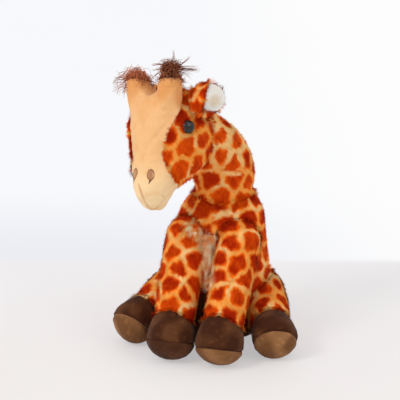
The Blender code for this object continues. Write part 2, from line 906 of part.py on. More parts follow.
def face_block(margin):
    """The front of the head within the face panel's outline."""
    far = HEAD_DEPTH * 2
    rows = [(FACE_TOP, face_shares[0][1], face_shares[0][2])]
    for height, width, back in smooth_rows(face_shares, 3):
        rows.append((height * MUZZLE_DROP, width, back))
    rings = []
    for height, width, back in rows:
        half = width * HEAD_WIDTH + margin
        plane = -back * HEAD_DEPTH + margin
        rings.append([
            Vector((sign * half, depth, height))
            for sign, depth in ((-1, plane), (1, plane), (1, -far), (-1, -far))
        ])
    return loft("face_block", rings)


def chin_block(margin):
    """The underside of the muzzle behind the face panel."""
    plane = -face_shares[-1][2] * HEAD_DEPTH
    edge = plane + GAP - margin
    corners = [(edge, chin_line_shares[0][0])]
    corners.append((0, chin_line_shares[1][0]))
    corners.append((plane * chin_line_shares[2][1], chin_line_shares[2][0]))
    outline = [Vector((-HEAD_WIDTH, y, -share * MUZZLE_DROP + margin)) for y, share in corners]
    outline.append(outline[-1] - Z * HEAD_DEPTH)
    outline.append(outline[0] - Z * HEAD_DEPTH)
    return prism("chin_block", outline, X, 0, HEAD_WIDTH * 2)


def make_head(place):
    form = head_form("head_form")
    face = duplicate(form, "face")
    carve(face, face_block(0), "INTERSECT")
    chin = duplicate(form, "chin")
    carve(chin, chin_block(0), "INTERSECT")
    head = duplicate(form, "head")
    carve(head, face_block(GAP))
    carve(head, chin_block(GAP))
    pieces = [head, face, chin]
    for name, sign in SIDES:
        pieces.extend(make_eye(name, sign, head))
        pieces.extend(make_horn(name, sign, form))
        pieces.append(make_nostril(name, sign, form))
        carve(head, ear_groove(sign))
    pieces.append(mane_head(form))
    discard(form)
    for piece in pieces:
        piece.data.transform(place)
    return pieces


def make_eye(name, sign, head):
    """A domed safety eye in its recess, with the washer pressed on its shank."""
    point, normal = head_point(EYE_HEIGHT, EYE_ANGLE, sign)
    near = -EYE_RECESS - EYE_WASHER_THICKNESS
    far = near - EYE_WASHER_THICKNESS
    inner = EYE_SHANK_RADIUS + GAP
    bore_radius = EYE_WASHER_RADIUS + GAP
    depth = EYE_SHANK_LENGTH + EYE_RECESS + GAP
    bore = [
        (-depth, 0),
        (-depth, inner),
        (far - GAP, inner),
        (far - GAP, bore_radius),
        (-EYE_RECESS, bore_radius),
        (-EYE_RECESS, EYE_RADIUS + GAP),
        (OVERRUN, EYE_RADIUS + GAP),
        (OVERRUN, 0),
    ]
    carve(head, turned("eye_bore", point, normal, bore, EYE_SIDES))

    back = GAP - EYE_RECESS
    tip = back - EYE_SHANK_LENGTH
    profile = [(tip, 0), (tip, EYE_SHANK_RADIUS), (back, EYE_SHANK_RADIUS), (back, EYE_RADIUS), (0, EYE_RADIUS)]
    for along, radius in ball_profile(1.0, 5, 0, pi / 2)[1:]:
        profile.append((along * EYE_DOME, radius * EYE_RADIUS))
    eye = turned("eye_" + name, point, normal, profile, EYE_SIDES)

    loop = [(far, inner), (far, EYE_WASHER_RADIUS), (near, EYE_WASHER_RADIUS), (near, inner)]
    washer = turned("eye_washer_" + name, point, normal, loop, EYE_SIDES, True)
    return eye, washer


def make_horn(name, sign, form):
    """A peach horn on the crown and the hair tuft that caps it."""
    foot = Vector((sign * HORN_SPREAD_FOOT / 2, -HORN_FOOT_FORWARD, HORN_FOOT_HEIGHT))
    tip = Vector((sign * HORN_SPREAD_TIP / 2, -HORN_TIP_FORWARD, HORN_TIP_HEIGHT))
    axis = tip - foot
    profile = [(0, HORN_RADIUS), (axis.length / 2, (HORN_RADIUS + HORN_TIP_RADIUS) / 2)]
    straight = axis.length - HORN_TIP_RADIUS / 2
    for along, radius in ball_profile(1.0, 4, 0, pi / 2):
        profile.append((straight + along * HORN_TIP_RADIUS / 2, radius * HORN_TIP_RADIUS))
    horn = turned("horn_" + name, foot, axis, profile, HORN_SIDES)

    middle = tip + axis.normalized() * TUFT_RISE
    side, fore = across(axis.normalized())
    rings = []
    for along, radius in ball_profile(1.0, 8):
        centre = middle + axis.normalized() * (along * TUFT_HEIGHT / 2)
        wide = radius * TUFT_WIDTH / 2
        rings.append(ring(centre, side, fore, wide, wide, wide, HORN_SIDES) if radius else [centre])
    tuft = loft("horn_tuft_" + name, rings)
    carve(tuft, grown(horn, GAP))
    carve(horn, grown(form, GAP))
    if sign > 0:
        carve(tuft, half_space(X * (GAP / 2), -X, TORSO_HEIGHT))
    else:
        carve(tuft, half_space(X * (-GAP / 2), X, TORSO_HEIGHT))
    return horn, tuft


def make_nostril(name, sign, form):
    """An oval of satin stitch on the face panel."""
    row = min(head_rows(), key=lambda item: abs(item[0] + NOSTRIL_DROP))
    angle = pi / 2 - NOSTRIL_SPREAD / 2 / row[4]
    point, normal = head_point(row[0], angle, sign)
    side, fore = across(normal)
    oval = ring(point, side, fore, NOSTRIL_WIDTH / 2, NOSTRIL_LENGTH / 2, NOSTRIL_LENGTH / 2, EYE_SIDES)
    nostril = prism("nostril_" + name, oval, normal, -NOSTRIL_WIDTH, NOSTRIL_WIDTH)
    carve(nostril, grown(form, GAP + NOSTRIL_THREAD), "INTERSECT")
    carve(nostril, grown(form, GAP))
    return nostril


def mane_head(form):
    """A ridge of pile down the back of the head, above the neck."""
    rows = head_rows()
    high, low = mane_head_span_shares
    rings = []
    for step in range(MANE_STEPS + 1):
        share = high + (low - high) * step / MANE_STEPS
        height = share * CROWN_HEIGHT
        row = min(rows, key=lambda item: abs(item[0] - height))
        fade = sqrt(sin(pi * (step + 1) / (MANE_STEPS + 2)))
        point = Vector((0, row[3] - row[1], height))
        half = MANE_WIDTH / 2 * fade
        tall = MANE_PILE * fade
        rings.append(ring(point, X, Y, half, tall, tall, MANE_SIDES))
    mane = loft("mane_head", rings)
    carve(mane, grown(form, GAP))
    return mane


# Ears


def ear_frame(sign):
    """The ear's root frame on the head: across, along to the tip, and out of the opening."""
    set_back = 0 if sign > 0 else EAR_SET_BACK
    point, _ = head_point(EAR_ROOT_HEIGHT, -set_back, sign)
    lean_back = EAR_LEAN_BACK + set_back
    along = Vector((0, sin(lean_back), cos(lean_back)))
    opening = Vector((sign * cos(set_back), sin(set_back), 0))
    wide = along.cross(opening).normalized()
    opening = wide.cross(along).normalized()
    frame = Matrix((wide, along, opening)).transposed().to_4x4()
    frame.translation = point
    return frame


def ear_groove(sign):
    half = EAR_ROOT_LENGTH / 2 + GAP
    radius = (EAR_ROOT_RADIUS + GAP) / cos(pi / HORN_SIDES)
    profile = [(-half, 0), (-half, radius), (half, radius), (half, 0)]
    groove = turned("ear_groove", Vector((0, 0, 0)), X, profile, HORN_SIDES)
    groove.data.transform(ear_frame(sign))
    return groove


def leaf(name, margin, bulge, inside, outside):
    """A cupped leaf between two offsets from its middle surface, fuller on its back."""
    steps = 8
    rows = smooth_rows(ear_width_shares, 2)
    layers = []
    for offset, fullness in ((inside, bulge), (outside, 0)):
        layer = []
        for along, share in rows:
            half = share * EAR_WIDTH / 2 - margin
            for index in range(steps + 1):
                across_share = 2 * index / steps - 1
                cup = EAR_CUP * share * across_share * across_share
                curl = EAR_CURL * along * along
                full = fullness * (1 - across_share ** 4) * sqrt(max(sin(pi * along), 0))
                length = along * (EAR_LENGTH - margin)
                layer.append(Vector((half * across_share, length, curl + cup + offset - full)))
        layers.append(layer)
    return layered(name, layers, len(rows), steps + 1)


def layered(name, layers, rows, columns):
    """A closed solid between two grids of points."""
    points = layers[0] + layers[1]
    shift = rows * columns
    faces = []
    for row in range(rows - 1):
        for column in range(columns - 1):
            a = row * columns + column
            quad = (a, a + 1, a + columns + 1, a + columns)
            faces.append(quad)
            faces.append(tuple(index + shift for index in reversed(quad)))
    border = [column for column in range(columns)]
    border += [row * columns + columns - 1 for row in range(1, rows)]
    border += [(rows - 1) * columns + column for column in range(columns - 2, -1, -1)]
    border += [row * columns for row in range(rows - 2, 0, -1)]
    for index, start in enumerate(border):
        end = border[(index + 1) % len(border)]
        faces.append((start, end, end + shift, start + shift))
    return mesh_object(name, points, faces)


def make_ear(name, sign, place):
    frame = place @ ear_frame(sign)
    ear = leaf("ear_" + name, 0, EAR_BULGE, -EAR_SKIN / 2, EAR_SKIN / 2)
    scalp = head_form("scalp")
    scalp.data.transform(ear_frame(sign).inverted())
    carve(ear, grown(scalp, GAP))
    discard(scalp)
    half = EAR_ROOT_LENGTH / 2
    bar = [(-half, 0), (-half, EAR_ROOT_RADIUS), (half, EAR_ROOT_RADIUS), (half, 0)]
    carve(ear, turned("ear_root", Vector((0, 0, 0)), X, bar, HORN_SIDES), "UNION")
    lining_back = EAR_SKIN / 2 + GAP
    lining = leaf("ear_lining_" + name, EAR_MARGIN, 0, lining_back, lining_back + EAR_LINING)
    lining_start = EAR_ROOT_RADIUS + EAR_MARGIN
    carve(lining, half_space(Y * lining_start, -Y, EAR_LENGTH * 2))
    for piece in (ear, lining):
        piece.data.transform(frame)
    return frame, ear, lining


# Assembly


def pivot(name, place, parent):
    """An empty on a joint's axis, which carries the pieces that move on it."""
    empty = bpy.data.objects.new(name, None)
    bpy.context.scene.collection.objects.link(empty)
    empty.empty_display_size = GAP
    empty.parent = parent
    if parent is None:
        empty.matrix_world = place
    else:
        empty.matrix_local = parent.matrix_world.inverted() @ place
    bpy.context.view_layer.update()
    return empty


def carry(parent, finish, *pieces):
    """Give the pieces their material and hang them on the empty, with their origin there."""
    for piece in pieces:
        piece.data.transform(parent.matrix_world.inverted())
        piece.parent = parent
        piece.data.materials.clear()
        piece.data.materials.append(make_finish(finish))
        piece.data.shade_smooth()
        piece.data.set_sharp_from_angle(angle=SHARP_ANGLE)


def make_finish(name):
    return bpy.data.materials.get(name) or make_material(name)


def centre_on_ground(root):
    """Stand the toy on Z = 0 with its bounding box centred on the origin."""
    bpy.context.view_layer.update()
    corners = [
        item.matrix_world @ vertex.co
        for item in bpy.context.scene.objects
        if item.type == "MESH"
        for vertex in item.data.vertices
    ]
    low = [min(corner[axis] for corner in corners) for axis in range(3)]
    high = [max(corner[axis] for corner in corners) for axis in range(3)]
    root.location = (-(low[0] + high[0]) / 2, -(low[1] + high[1]) / 2, -low[2])


def build():
    clear_scene()
    root = pivot("toy_root", Matrix.Identity(4), None)

    torso, seat, chest, bag = make_trunk(neck_seat())
    carry(root, "plush_pattern", torso)
    carry(root, "dark_velour", seat)
    carry(root, "cream_pile", chest)
    carry(root, "pellet_cloth", bag)

    neck_pivot = pivot("neck_pivot", Matrix.Translation(neck_seat()), root)
    neck, mane = make_neck()
    carry(neck_pivot, "plush_pattern", neck)
    carry(neck_pivot, "brown_hair", mane)

    place = head_matrix()
    head_pivot = pivot("head_pivot", place, neck_pivot)
    finish_of = {
        "head": "plush_pattern",
        "face": "peach_velour",
        "chin": "peach_velour",
        "eye": "black_gloss",
        "eye_washer": "washer_plastic",
        "horn": "peach_velour",
        "horn_tuft": "brown_hair",
        "nostril": "brown_hair",
        "mane_head": "brown_hair",
    }
    for piece in make_head(place):
        kind = piece.name.removesuffix("_left").removesuffix("_right")
        carry(head_pivot, finish_of[kind], piece)

    for name, sign in SIDES:
        frame, ear, lining = make_ear(name, sign, place)
        ear_pivot = pivot("ear_pivot_" + name, frame, head_pivot)
        carry(ear_pivot, "plush_pattern", ear)
        carry(ear_pivot, "white_lining", lining)
        for kind, joint, maker in (("shoulder", shoulder, make_front_leg), ("hip", hip, make_hind_leg)):
            leg_pivot = pivot(kind + "_pivot_" + name, Matrix.Translation(joint(sign)), root)
            leg, hoof, sole = maker(name, sign)
            carry(leg_pivot, "plush_pattern", leg)
            carry(leg_pivot, "dark_velour", hoof)
            carry(leg_pivot, "sole_velour", sole)

    tail_pivot = pivot("tail_pivot", Matrix.Translation(tail_root()), root)
    tail, tuft = make_tail()
    carry(tail_pivot, "plush_pattern", tail)
    carry(tail_pivot, "brown_hair", tuft)
    centre_on_ground(root)


build()
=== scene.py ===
"""Looks of the seated plush giraffe: stuffed skins, pile, coat pattern, hair, eyes and seams."""

import json
from math import cos, pi, radians, sin, sqrt

import bmesh
import bpy
import numpy as np
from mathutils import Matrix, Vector
from mathutils.bvhtree import BVHTree
from mathutils.kdtree import KDTree


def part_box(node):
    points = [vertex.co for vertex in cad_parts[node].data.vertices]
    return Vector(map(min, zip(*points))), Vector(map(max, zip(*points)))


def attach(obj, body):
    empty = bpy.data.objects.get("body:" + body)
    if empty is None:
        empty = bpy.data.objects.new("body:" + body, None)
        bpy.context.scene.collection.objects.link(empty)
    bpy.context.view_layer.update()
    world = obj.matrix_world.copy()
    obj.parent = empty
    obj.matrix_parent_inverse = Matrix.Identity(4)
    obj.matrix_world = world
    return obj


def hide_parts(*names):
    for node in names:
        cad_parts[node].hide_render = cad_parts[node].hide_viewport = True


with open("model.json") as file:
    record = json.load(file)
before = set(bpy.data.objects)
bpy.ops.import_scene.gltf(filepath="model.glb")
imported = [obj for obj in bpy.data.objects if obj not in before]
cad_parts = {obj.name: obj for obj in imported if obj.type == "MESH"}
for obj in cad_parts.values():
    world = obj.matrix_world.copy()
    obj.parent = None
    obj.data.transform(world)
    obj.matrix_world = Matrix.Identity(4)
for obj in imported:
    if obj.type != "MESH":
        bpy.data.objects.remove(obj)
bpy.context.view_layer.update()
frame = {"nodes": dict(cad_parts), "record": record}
NODES = frame["nodes"]
BODIES = frame["record"]["behaviour"]["bodies"]
BODY_OF = {node: body for body, members in BODIES.items() for node in members}
MM = 0.001
SIDES = ("left", "right")
DOWN = np.array((0.0, 0.0, -1.0))
UP = -DOWN
ACROSS = np.array((1.0, 0.0, 0.0))

# The camera stands where the photograph was taken from, whose frame is a square of pixels
PHOTO_SIDE = 400
FOCAL_PIXELS = 1300
CAMERA_DISTANCE = 1300 * MM
CAMERA_AZIMUTH = radians(16)
CAMERA_ELEVATION = radians(16)
CAMERA_TARGET = Vector((-17.9, -4.5, 139.3)) * MM
SIGHT = Vector((
    -sin(CAMERA_AZIMUTH) * cos(CAMERA_ELEVATION),
    cos(CAMERA_AZIMUTH) * cos(CAMERA_ELEVATION),
    -sin(CAMERA_ELEVATION),
))
SIGHT_RIGHT = Vector((cos(CAMERA_AZIMUTH), sin(CAMERA_AZIMUTH), 0))
SIGHT_UP = SIGHT_RIGHT.cross(SIGHT)
CAMERA_PLACE = CAMERA_TARGET - SIGHT * CAMERA_DISTANCE
HORIZON_ROW = 262

# Colours as they look in the picture
LINE_TAN = (1.0, 0.64, 0.29)
LINE_CREAM = (1.0, 0.80, 0.54)
PATCH_RIM = (1.0, 0.44, 0.05)
PATCH_ORANGE = (0.90, 0.33, 0.02)
PATCH_RUST = (0.68, 0.135, 0.0)
CHEST_CREAM = (1.0, 0.92, 0.78)
CHEST_PINK = (1.0, 0.62, 0.36)
PEACH = (0.925, 0.72, 0.505)
PEACH_ORANGE = (0.865, 0.60, 0.36)
PEACH_PALE = (0.955, 0.835, 0.655)
PEACH_SEAM = (0.72, 0.50, 0.33)
HAIR_DARK = (0.42, 0.23, 0.155)
HAIR_RED = (0.76, 0.46, 0.32)
LINING_WHITE = (1.0, 0.985, 0.955)
# Painted shade in the ear's hollow
LINING_HOLLOW_SHADE = (0.93, 0.865, 0.775)
HOOF_DARK = (0.25, 0.125, 0.06)
HOOF_LIGHT = (0.40, 0.245, 0.14)
# Soles are painted lighter than the velour of the uppers, a painted sheen of the nap
SHEEN_SOLE_DARK = (0.45, 0.295, 0.175)
SHEEN_SOLE_LIGHT = (0.64, 0.46, 0.30)
THREAD_LIGHT = (0.74, 0.56, 0.40)
THREAD_DARK = (0.27, 0.11, 0.06)
NOSTRIL_BROWN = (0.66, 0.46, 0.33)
NOSTRIL_TAIL = (0.48, 0.33, 0.25)
NOSTRIL_PINK = (0.87, 0.64, 0.47)

# Pile: the size of its strands, and how many grow on an area
PILE_LENGTH = 2.9 * MM
PILE_WIDTH = 0.55 * MM
PILE_DENSITY = 1.3 / MM**2
PILE_SINK = 0.3 * MM
PILE_INSET = 1.1 * MM
MOST_STRANDS = 49000

# Coat pattern: the lines, the rims of the patches and the room that each patch has
LINE_HALF = 1.7 * MM
LINE_BLUR = 0.5 * MM
RIM_WIDTH = 2.2 * MM
CORNER_ROUND = 0.7 * MM
WANDER = 1.1 * MM
PATCH_SPACING = 17.5 * MM

# The waves that make up a random field, and the attribute that holds a mesh's paint
WAVE_COUNT = 9
PAINT_LAYER = "coat"


def linear(colour):
    """A colour as it looks, as the light that it stands for."""
    value = np.asarray(colour, float)
    return np.where(value <= 0.04045, value / 12.92, ((value + 0.055) / 1.055) ** 2.4)


def unit(vectors):
    return vectors / np.maximum(np.linalg.norm(vectors, axis=-1, keepdims=True), 1e-12)


def ripple(points, scale, seed):
    """A smooth random field over points, of about unit spread, with features of that scale."""
    draw = np.random.default_rng(seed)
    waves = unit(draw.normal(size=(WAVE_COUNT, 3))) * draw.uniform(0.7, 1.5, (WAVE_COUNT, 1))
    phases = draw.uniform(0, 2 * pi, WAVE_COUNT)
    return np.sin(points @ waves.T * (2 * pi / scale) + phases).sum(1) * sqrt(2 / WAVE_COUNT)


def ripple_vectors(points, scale, seed):
    return np.stack([ripple(points, scale, seed + step) for step in range(3)], axis=1)


def mix(first, second, share):
    share = np.asarray(share, float)[..., None]
    return np.asarray(first) * (1 - share) + np.asarray(second) * share


def ease(value, low, high):
    share = np.clip((value - low) / (high - low), 0, 1)
    return share * share * (3 - 2 * share)


def gap_to(points, others):
    """How far each point lies from the nearest of some others."""
    return np.linalg.norm(points[:, None, :] - others[None, :, :], axis=2).min(1)


# Places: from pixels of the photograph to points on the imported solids


def pixel_ray(x, y):
    half = PHOTO_SIDE / 2
    offset = SIGHT_RIGHT * ((x - half) / FOCAL_PIXELS) + SIGHT_UP * ((half - y) / FOCAL_PIXELS)
    return (SIGHT + offset).normalized()


def tree_of(*names):
    """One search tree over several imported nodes, and the node that each face belongs to."""
    points, faces, owners = [], [], []
    for name in names:
        mesh = NODES[name].data
        start = len(points)
        points.extend(vertex.co for vertex in mesh.vertices)
        for polygon in mesh.polygons:
            faces.append([start + index for index in polygon.vertices])
            owners.append(name)
    return BVHTree.FromPolygons(points, faces), owners


ALL_TREE, ALL_OWNERS = tree_of(*sorted(NODES))


def seen_at(x, y):
    """The point, the outward direction and the node that a pixel of the photograph shows."""
    point, normal, face, _ = ALL_TREE.ray_cast(CAMERA_PLACE, pixel_ray(x, y))
    if point is None:
        return None, None, None
    return np.array(point), np.array(normal), ALL_OWNERS[face]


def node_points(name):
    return np.array([vertex.co for vertex in NODES[name].data.vertices])


def main_axes(points):
    """Middle of some points, and how they spread along their own axes, from least to most."""
    middle = points.mean(0)
    sizes, axes = np.linalg.eigh(np.cov((points - middle).T))
    return middle, sizes, axes


def node_axis(name, spin=True):
    """Middle and main axis of a turned or long node. The axis of a turned one is the odd one out."""
    middle, sizes, axes = main_axes(np.unique(node_points(name).round(6), axis=0))
    if spin:
        gaps = (abs(sizes[1] - sizes[2]), abs(sizes[0] - sizes[2]), abs(sizes[0] - sizes[1]))
        return middle, axes[:, int(np.argmin(gaps))]
    return middle, axes[:, 2]


def turned_to(way, wanted):
    """A direction or its opposite, whichever goes the wanted way."""
    return way if way @ wanted >= 0 else -way


def round_axis(points, axis):
    """How far along an axis some points lie, their spokes from it and the lengths of those."""
    along = points @ axis
    spokes = points - along[:, None] * axis
    return along, spokes, np.linalg.norm(spokes, axis=1)


# Meshes


def new_object(name, mesh):
    item = bpy.data.objects.new(name, mesh)
    bpy.context.scene.collection.objects.link(item)
    return item


def vectors_of(items, field):
    flat = np.empty(len(items) * 3, np.float32)
    items.foreach_get(field, flat)
    return flat.reshape(-1, 3).astype(float)


def coordinates(mesh):
    return vectors_of(mesh.vertices, "co")


def vertex_normals(mesh):
    return vectors_of(mesh.vertex_normals, "vector")


def set_coordinates(mesh, points):
    mesh.vertices.foreach_set("co", points.astype(np.float32).ravel())
    mesh.update()


def push_out(item, amount, lowest=-np.inf):
    """Moves the points of a piece outward, each by its amount and none below a level."""
    points = coordinates(item.data) + vertex_normals(item.data) * np.reshape(amount, (-1, 1))
    points[:, 2] = np.maximum(points[:, 2], lowest)
    set_coordinates(item.data, points)
    return points


def paint(mesh, colours):
    """Writes one colour for each point, given as it looks."""
    layer = mesh.color_attributes.new(PAINT_LAYER, "FLOAT_COLOR", "POINT")
    light = np.ones((len(colours), 4), np.float32)
    light[:, :3] = linear(np.clip(colours, 0, 1))
    layer.data.foreach_set("color", light.ravel())


def apply_modifiers(item):
    graph = bpy.context.evaluated_depsgraph_get()
    mesh = bpy.data.meshes.new_from_object(item.evaluated_get(graph))
    old = item.data
    item.modifiers.clear()
    item.data = mesh
    bpy.data.meshes.remove(old)


def add_remesh(item, voxel):
    remesh = item.modifiers.new("even", "REMESH")
    remesh.mode = "VOXEL"
    remesh.voxel_size = voxel


def add_smooth(item, rounds):
    fair = item.modifiers.new("fair", "SMOOTH")
    fair.factor = 0.5
    fair.iterations = rounds


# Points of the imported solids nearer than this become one
WELD = 0.001 * MM


def skin(name, sources, voxel, rounds, grow=0.0):
    """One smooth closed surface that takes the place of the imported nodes."""
    shape = bmesh.new()
    for source in sources:
        shape.from_mesh(NODES[source].data)
    bmesh.ops.remove_doubles(shape, verts=shape.verts, dist=WELD)
    mesh = bpy.data.meshes.new(name)
    shape.to_mesh(mesh)
    shape.free()
    item = new_object(name, mesh)
    push_out(item, grow)
    add_remesh(item, voxel)
    add_smooth(item, rounds)
    apply_modifiers(item)
    item.data.shade_smooth()
    return item


def subdivide(item):
    finer = item.modifiers.new("finer", "SUBSURF")
    finer.levels = finer.render_levels = 1
    apply_modifiers(item)


def smooth_skin(item, rounds):
    add_smooth(item, rounds)
    apply_modifiers(item)


DRESSED = {}


def surface_of(mesh):
    return coordinates(mesh), [tuple(side.vertices) for side in mesh.polygons]


def dress(item, *nodes):
    """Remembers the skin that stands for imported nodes, for the pieces that grow beside it."""
    surface = surface_of(item.data)
    for node in nodes:
        DRESSED[node] = surface if node == nodes[0] else ((), ())


def others_than(sources):
    """One search tree over all that lies beside some nodes: skins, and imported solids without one."""
    points, faces = [], []
    for name in sorted(NODES):
        if name in sources:
            continue
        spots, sides = DRESSED.get(name) or surface_of(NODES[name].data)
        start = len(points)
        points.extend(tuple(spot) for spot in spots)
        faces.extend(tuple(start + corner for corner in side) for side in sides)
    return BVHTree.FromPolygons(points, faces)


def inset(item, sources, depth):
    """Draws the skin in for its pile, but not where it meets a neighbour."""
    neighbours = others_than(sources)
    points = coordinates(item.data)
    room = np.empty(len(points))
    for index, point in enumerate(points):
        _, _, _, distance = neighbours.find_nearest(point, depth * 4)
        room[index] = depth * 4 if distance is None else distance
    push_out(item, -np.clip((room - depth / 2) / 2, 0, depth))


# Cloth under pressure: a point moves by MOST_SWELL at most, and stops short of its neighbours
SIM_VOXEL = 5 * MM
SIM_FRAMES = 20
SIM_PRESSURE = 30
MOST_SWELL = 1.7 * MM
SIM_CLEAR = 0.4 * MM
SIM_GUIDES = 5
SIM_SOFTENING = 0.5 * MM
GROUND_GAP = 0.5 * MM


def swollen(mesh):
    """The points of a coarse copy of a mesh, and how far each moves when the cloth is filled."""
    scene = bpy.context.scene
    coarse = new_object("coarse", mesh.copy())
    add_remesh(coarse, SIM_VOXEL)
    apply_modifiers(coarse)
    before = coordinates(coarse.data)
    cloth = coarse.modifiers.new("swell", "CLOTH")
    cloth.settings.use_pressure = True
    cloth.settings.uniform_pressure_force = SIM_PRESSURE
    cloth.settings.effector_weights.gravity = 0
    cloth.point_cache.frame_start = 1
    cloth.point_cache.frame_end = SIM_FRAMES
    for step in range(1, SIM_FRAMES + 1):
        scene.frame_set(step)
    apply_modifiers(coarse)
    shift = coordinates(coarse.data) - before
    scene.frame_set(1)
    bpy.data.objects.remove(coarse)
    size = np.linalg.norm(shift, axis=1, keepdims=True)
    return before, shift * np.minimum(1, MOST_SWELL / np.maximum(size, 1e-9))


def stuff(item, sources):
    """Swells the cloth under its filling. A coarse copy is simulated, and the skin follows it."""
    guides, shift = swollen(item.data)
    nearest = KDTree(len(guides))
    for index, spot in enumerate(guides):
        nearest.insert(spot, index)
    nearest.balance()
    neighbours = others_than(sources)
    points = coordinates(item.data)
    moves = np.zeros_like(points)
    for index, spot in enumerate(points):
        near = nearest.find_n(spot, SIM_GUIDES)
        weights = np.array([1 / (distance + SIM_SOFTENING) ** 2 for _, _, distance in near])
        moves[index] = weights @ shift[[found for _, found, _ in near]] / weights.sum()
        _, _, _, room = neighbours.find_nearest(spot, MOST_SWELL + SIM_CLEAR)
        if room is not None:
            moves[index] *= min(max(room - SIM_CLEAR, 0) / MOST_SWELL, 1)
    moved = points + moves
    moved[:, 2] = np.maximum(moved[:, 2], np.minimum(points[:, 2], GROUND_GAP))
    set_coordinates(item.data, moved)


# Coat pattern: patches grow round places listed on the photograph, and round others out of sight

PATCH_PIXELS = (
    ((202, 209), (219, 203.5)), ((225, 224),), ((202, 228),), ((243, 198),), ((248, 218),),
    ((266, 217),), ((253, 240),), ((267, 234),), ((184, 216),), ((176, 228),),
    ((172, 252),), ((193, 258),), ((178, 267),), ((169, 283),), ((160, 271),), ((187, 294),),
    ((195, 288),), ((172, 305),), ((190, 316),), ((238, 264),), ((248, 279),), ((238, 299),),
    ((257, 263),), ((216.5, 293),), ((209, 312),), ((231, 315),), ((244, 320),),
    ((215.5, 276),), ((275, 271),), ((279, 284),), ((280, 309),), ((262, 286),),
    ((184, 147),), ((204, 139),), ((180, 168),), ((198, 164),), ((209, 122),), ((222, 133.5),),
    ((222, 157),), ((233.5, 163),), ((236, 139),), ((247, 159.5),), ((208, 179),),
    ((236, 180.5),), ((248, 184),),
)
BRIGHT_PIXELS = (
    (180, 168), (184, 147), (194, 97), (236, 139), (222, 133.5), (172, 305), (222, 157), (233.5, 163),
)
COAT_NODES = (
    "torso", "neck", "head", "ear_left", "ear_right", "front_leg_left", "front_leg_right",
    "hind_leg_left", "hind_leg_right", "tail",
)


def picked_patches():
    """For each coat node, the patch centres that the photograph shows on it."""
    found = {name: [] for name in COAT_NODES}
    for patch, pixels in enumerate(PATCH_PIXELS):
        for x, y in pixels:
            point, _, node = seen_at(x, y)
            if node in found:
                found[node].append((point, patch))
    return found


SPACING_SHARES = {
    "ear_left": 0.62, "ear_right": 0.62, "tail": 0.62,
    "hind_leg_left": 0.9, "hind_leg_right": 0.9,
}
SPREAD_LABELS = 1000


def spread_patches(node, points, given):
    """Adds centres over the rest of the node, none nearer to another than the spacing."""
    draw = np.random.default_rng(sum(map(ord, node)))
    centres = [point for point, _ in given]
    labels = [label for _, label in given]
    spacing = PATCH_SPACING * SPACING_SHARES.get(node, 1)
    for index in draw.permutation(len(points)):
        point = points[index]
        if centres and np.min(np.linalg.norm(np.array(centres) - point, axis=1)) < spacing:
            continue
        centres.append(point)
        labels.append(SPREAD_LABELS + len(labels))
    return np.array(centres), np.array(labels)


# The gap that counts between patches of one label, which have no line between them
FAR_OFF = 1.0


def patch_depth(points, centres, labels):
    """How far inside its patch each point lies, and the patch's label."""
    squares = ((points[:, None, :] - centres[None, :, :]) ** 2).sum(2)
    nearest = squares.argmin(1)
    own = labels[nearest]
    apart = np.linalg.norm(centres[nearest][:, None, :] - centres[None, :, :], axis=2)
    gaps = (squares - squares.min(1)[:, None]) / np.maximum(2 * apart, 1e-9)
    gaps[labels[None, :] == own[:, None]] = FAR_OFF
    depth = -CORNER_ROUND * np.log(np.exp(-gaps / CORNER_ROUND).sum(1))
    return depth, own


# The lines are wider or narrower on some nodes. The neck's get wider and paler between two heights
LINE_SHARES = {"hind_leg_left": 1.4, "hind_leg_right": 1.4, "ear_left": 0.8, "ear_right": 0.8}
NECK_PALE_LOW = 170 * MM
NECK_PALE_HIGH = 200 * MM
COMB_HALF = 1.2 * MM
COMB_EDGE = 3.2 * MM
TAIL_BROWN_LOW = 17 * MM
TAIL_BROWN_HIGH = 22 * MM


def brightness(node, centres, labels):
    """How bright each patch is, from rust to orange, by its label."""
    tones = {int(label): np.random.default_rng(int(label) + 7).uniform() for label in labels}
    for x, y in BRIGHT_PIXELS:
        point, _, seen = seen_at(x, y)
        if seen == node:
            tones[int(labels[np.linalg.norm(centres - point, axis=1).argmin()])] = 1.0
    return tones


def coat(node, points, centres, labels):
    """The colour of the coat at points of a node."""
    warped = points + ripple_vectors(points, 14 * MM, 3) * (WANDER / 2)
    warped = warped + ripple_vectors(points, 6 * MM, 9) * (WANDER / 4)
    depth, own = patch_depth(warped, centres, labels)
    tones = brightness(node, centres, labels)
    bright = np.array([tones[int(label)] for label in own])
    cloud = ripple(points, 11 * MM, 21) + 0.7 * ripple(points, 4.5 * MM, 23)
    line = mix(LINE_TAN, LINE_CREAM, ease(ripple(points, 30 * MM, 31), -0.6, 1.6))
    half = LINE_HALF * (1 + 0.22 * ripple(points, 12 * MM, 41)) * LINE_SHARES.get(node, 1)
    if node == "neck":
        raised = ease(points[:, 2], NECK_PALE_LOW, NECK_PALE_HIGH)
        half = half * (1 + 0.7 * raised)
        line = mix(line, LINE_CREAM, 0.8 * raised)
    within = (depth - half) / RIM_WIDTH
    dark = ease(within, 0.25, 1.35) * (1 - 0.8 * bright**1.5)
    inner = mix(PATCH_ORANGE, PATCH_RUST, np.clip(dark + cloud * 0.13, 0, 1))
    patch = mix(PATCH_RIM, inner, ease(within, 0, 0.8))
    colours = mix(line, patch, ease(depth, half - LINE_BLUR, half + LINE_BLUR))
    if node == "neck":
        colours = mix(colours, LINE_CREAM, 1 - ease(gap_to(points, COMB_LINE), COMB_HALF, COMB_EDGE))
    if node == "tail":
        colours = mix(colours, HAIR_RED, 1 - ease(points[:, 2], TAIL_BROWN_LOW, TAIL_BROWN_HIGH))
    return colours


# The middle of the fold under the head, and of the bleached chest
COMB_PIXELS = ((224, 172.5), (232, 173.5), (241, 173))
CHEST_PIXELS = ((190, 227), (199, 234), (206, 245), (211, 258), (210, 270), (209, 284))
CHEST_REACH = 12 * MM


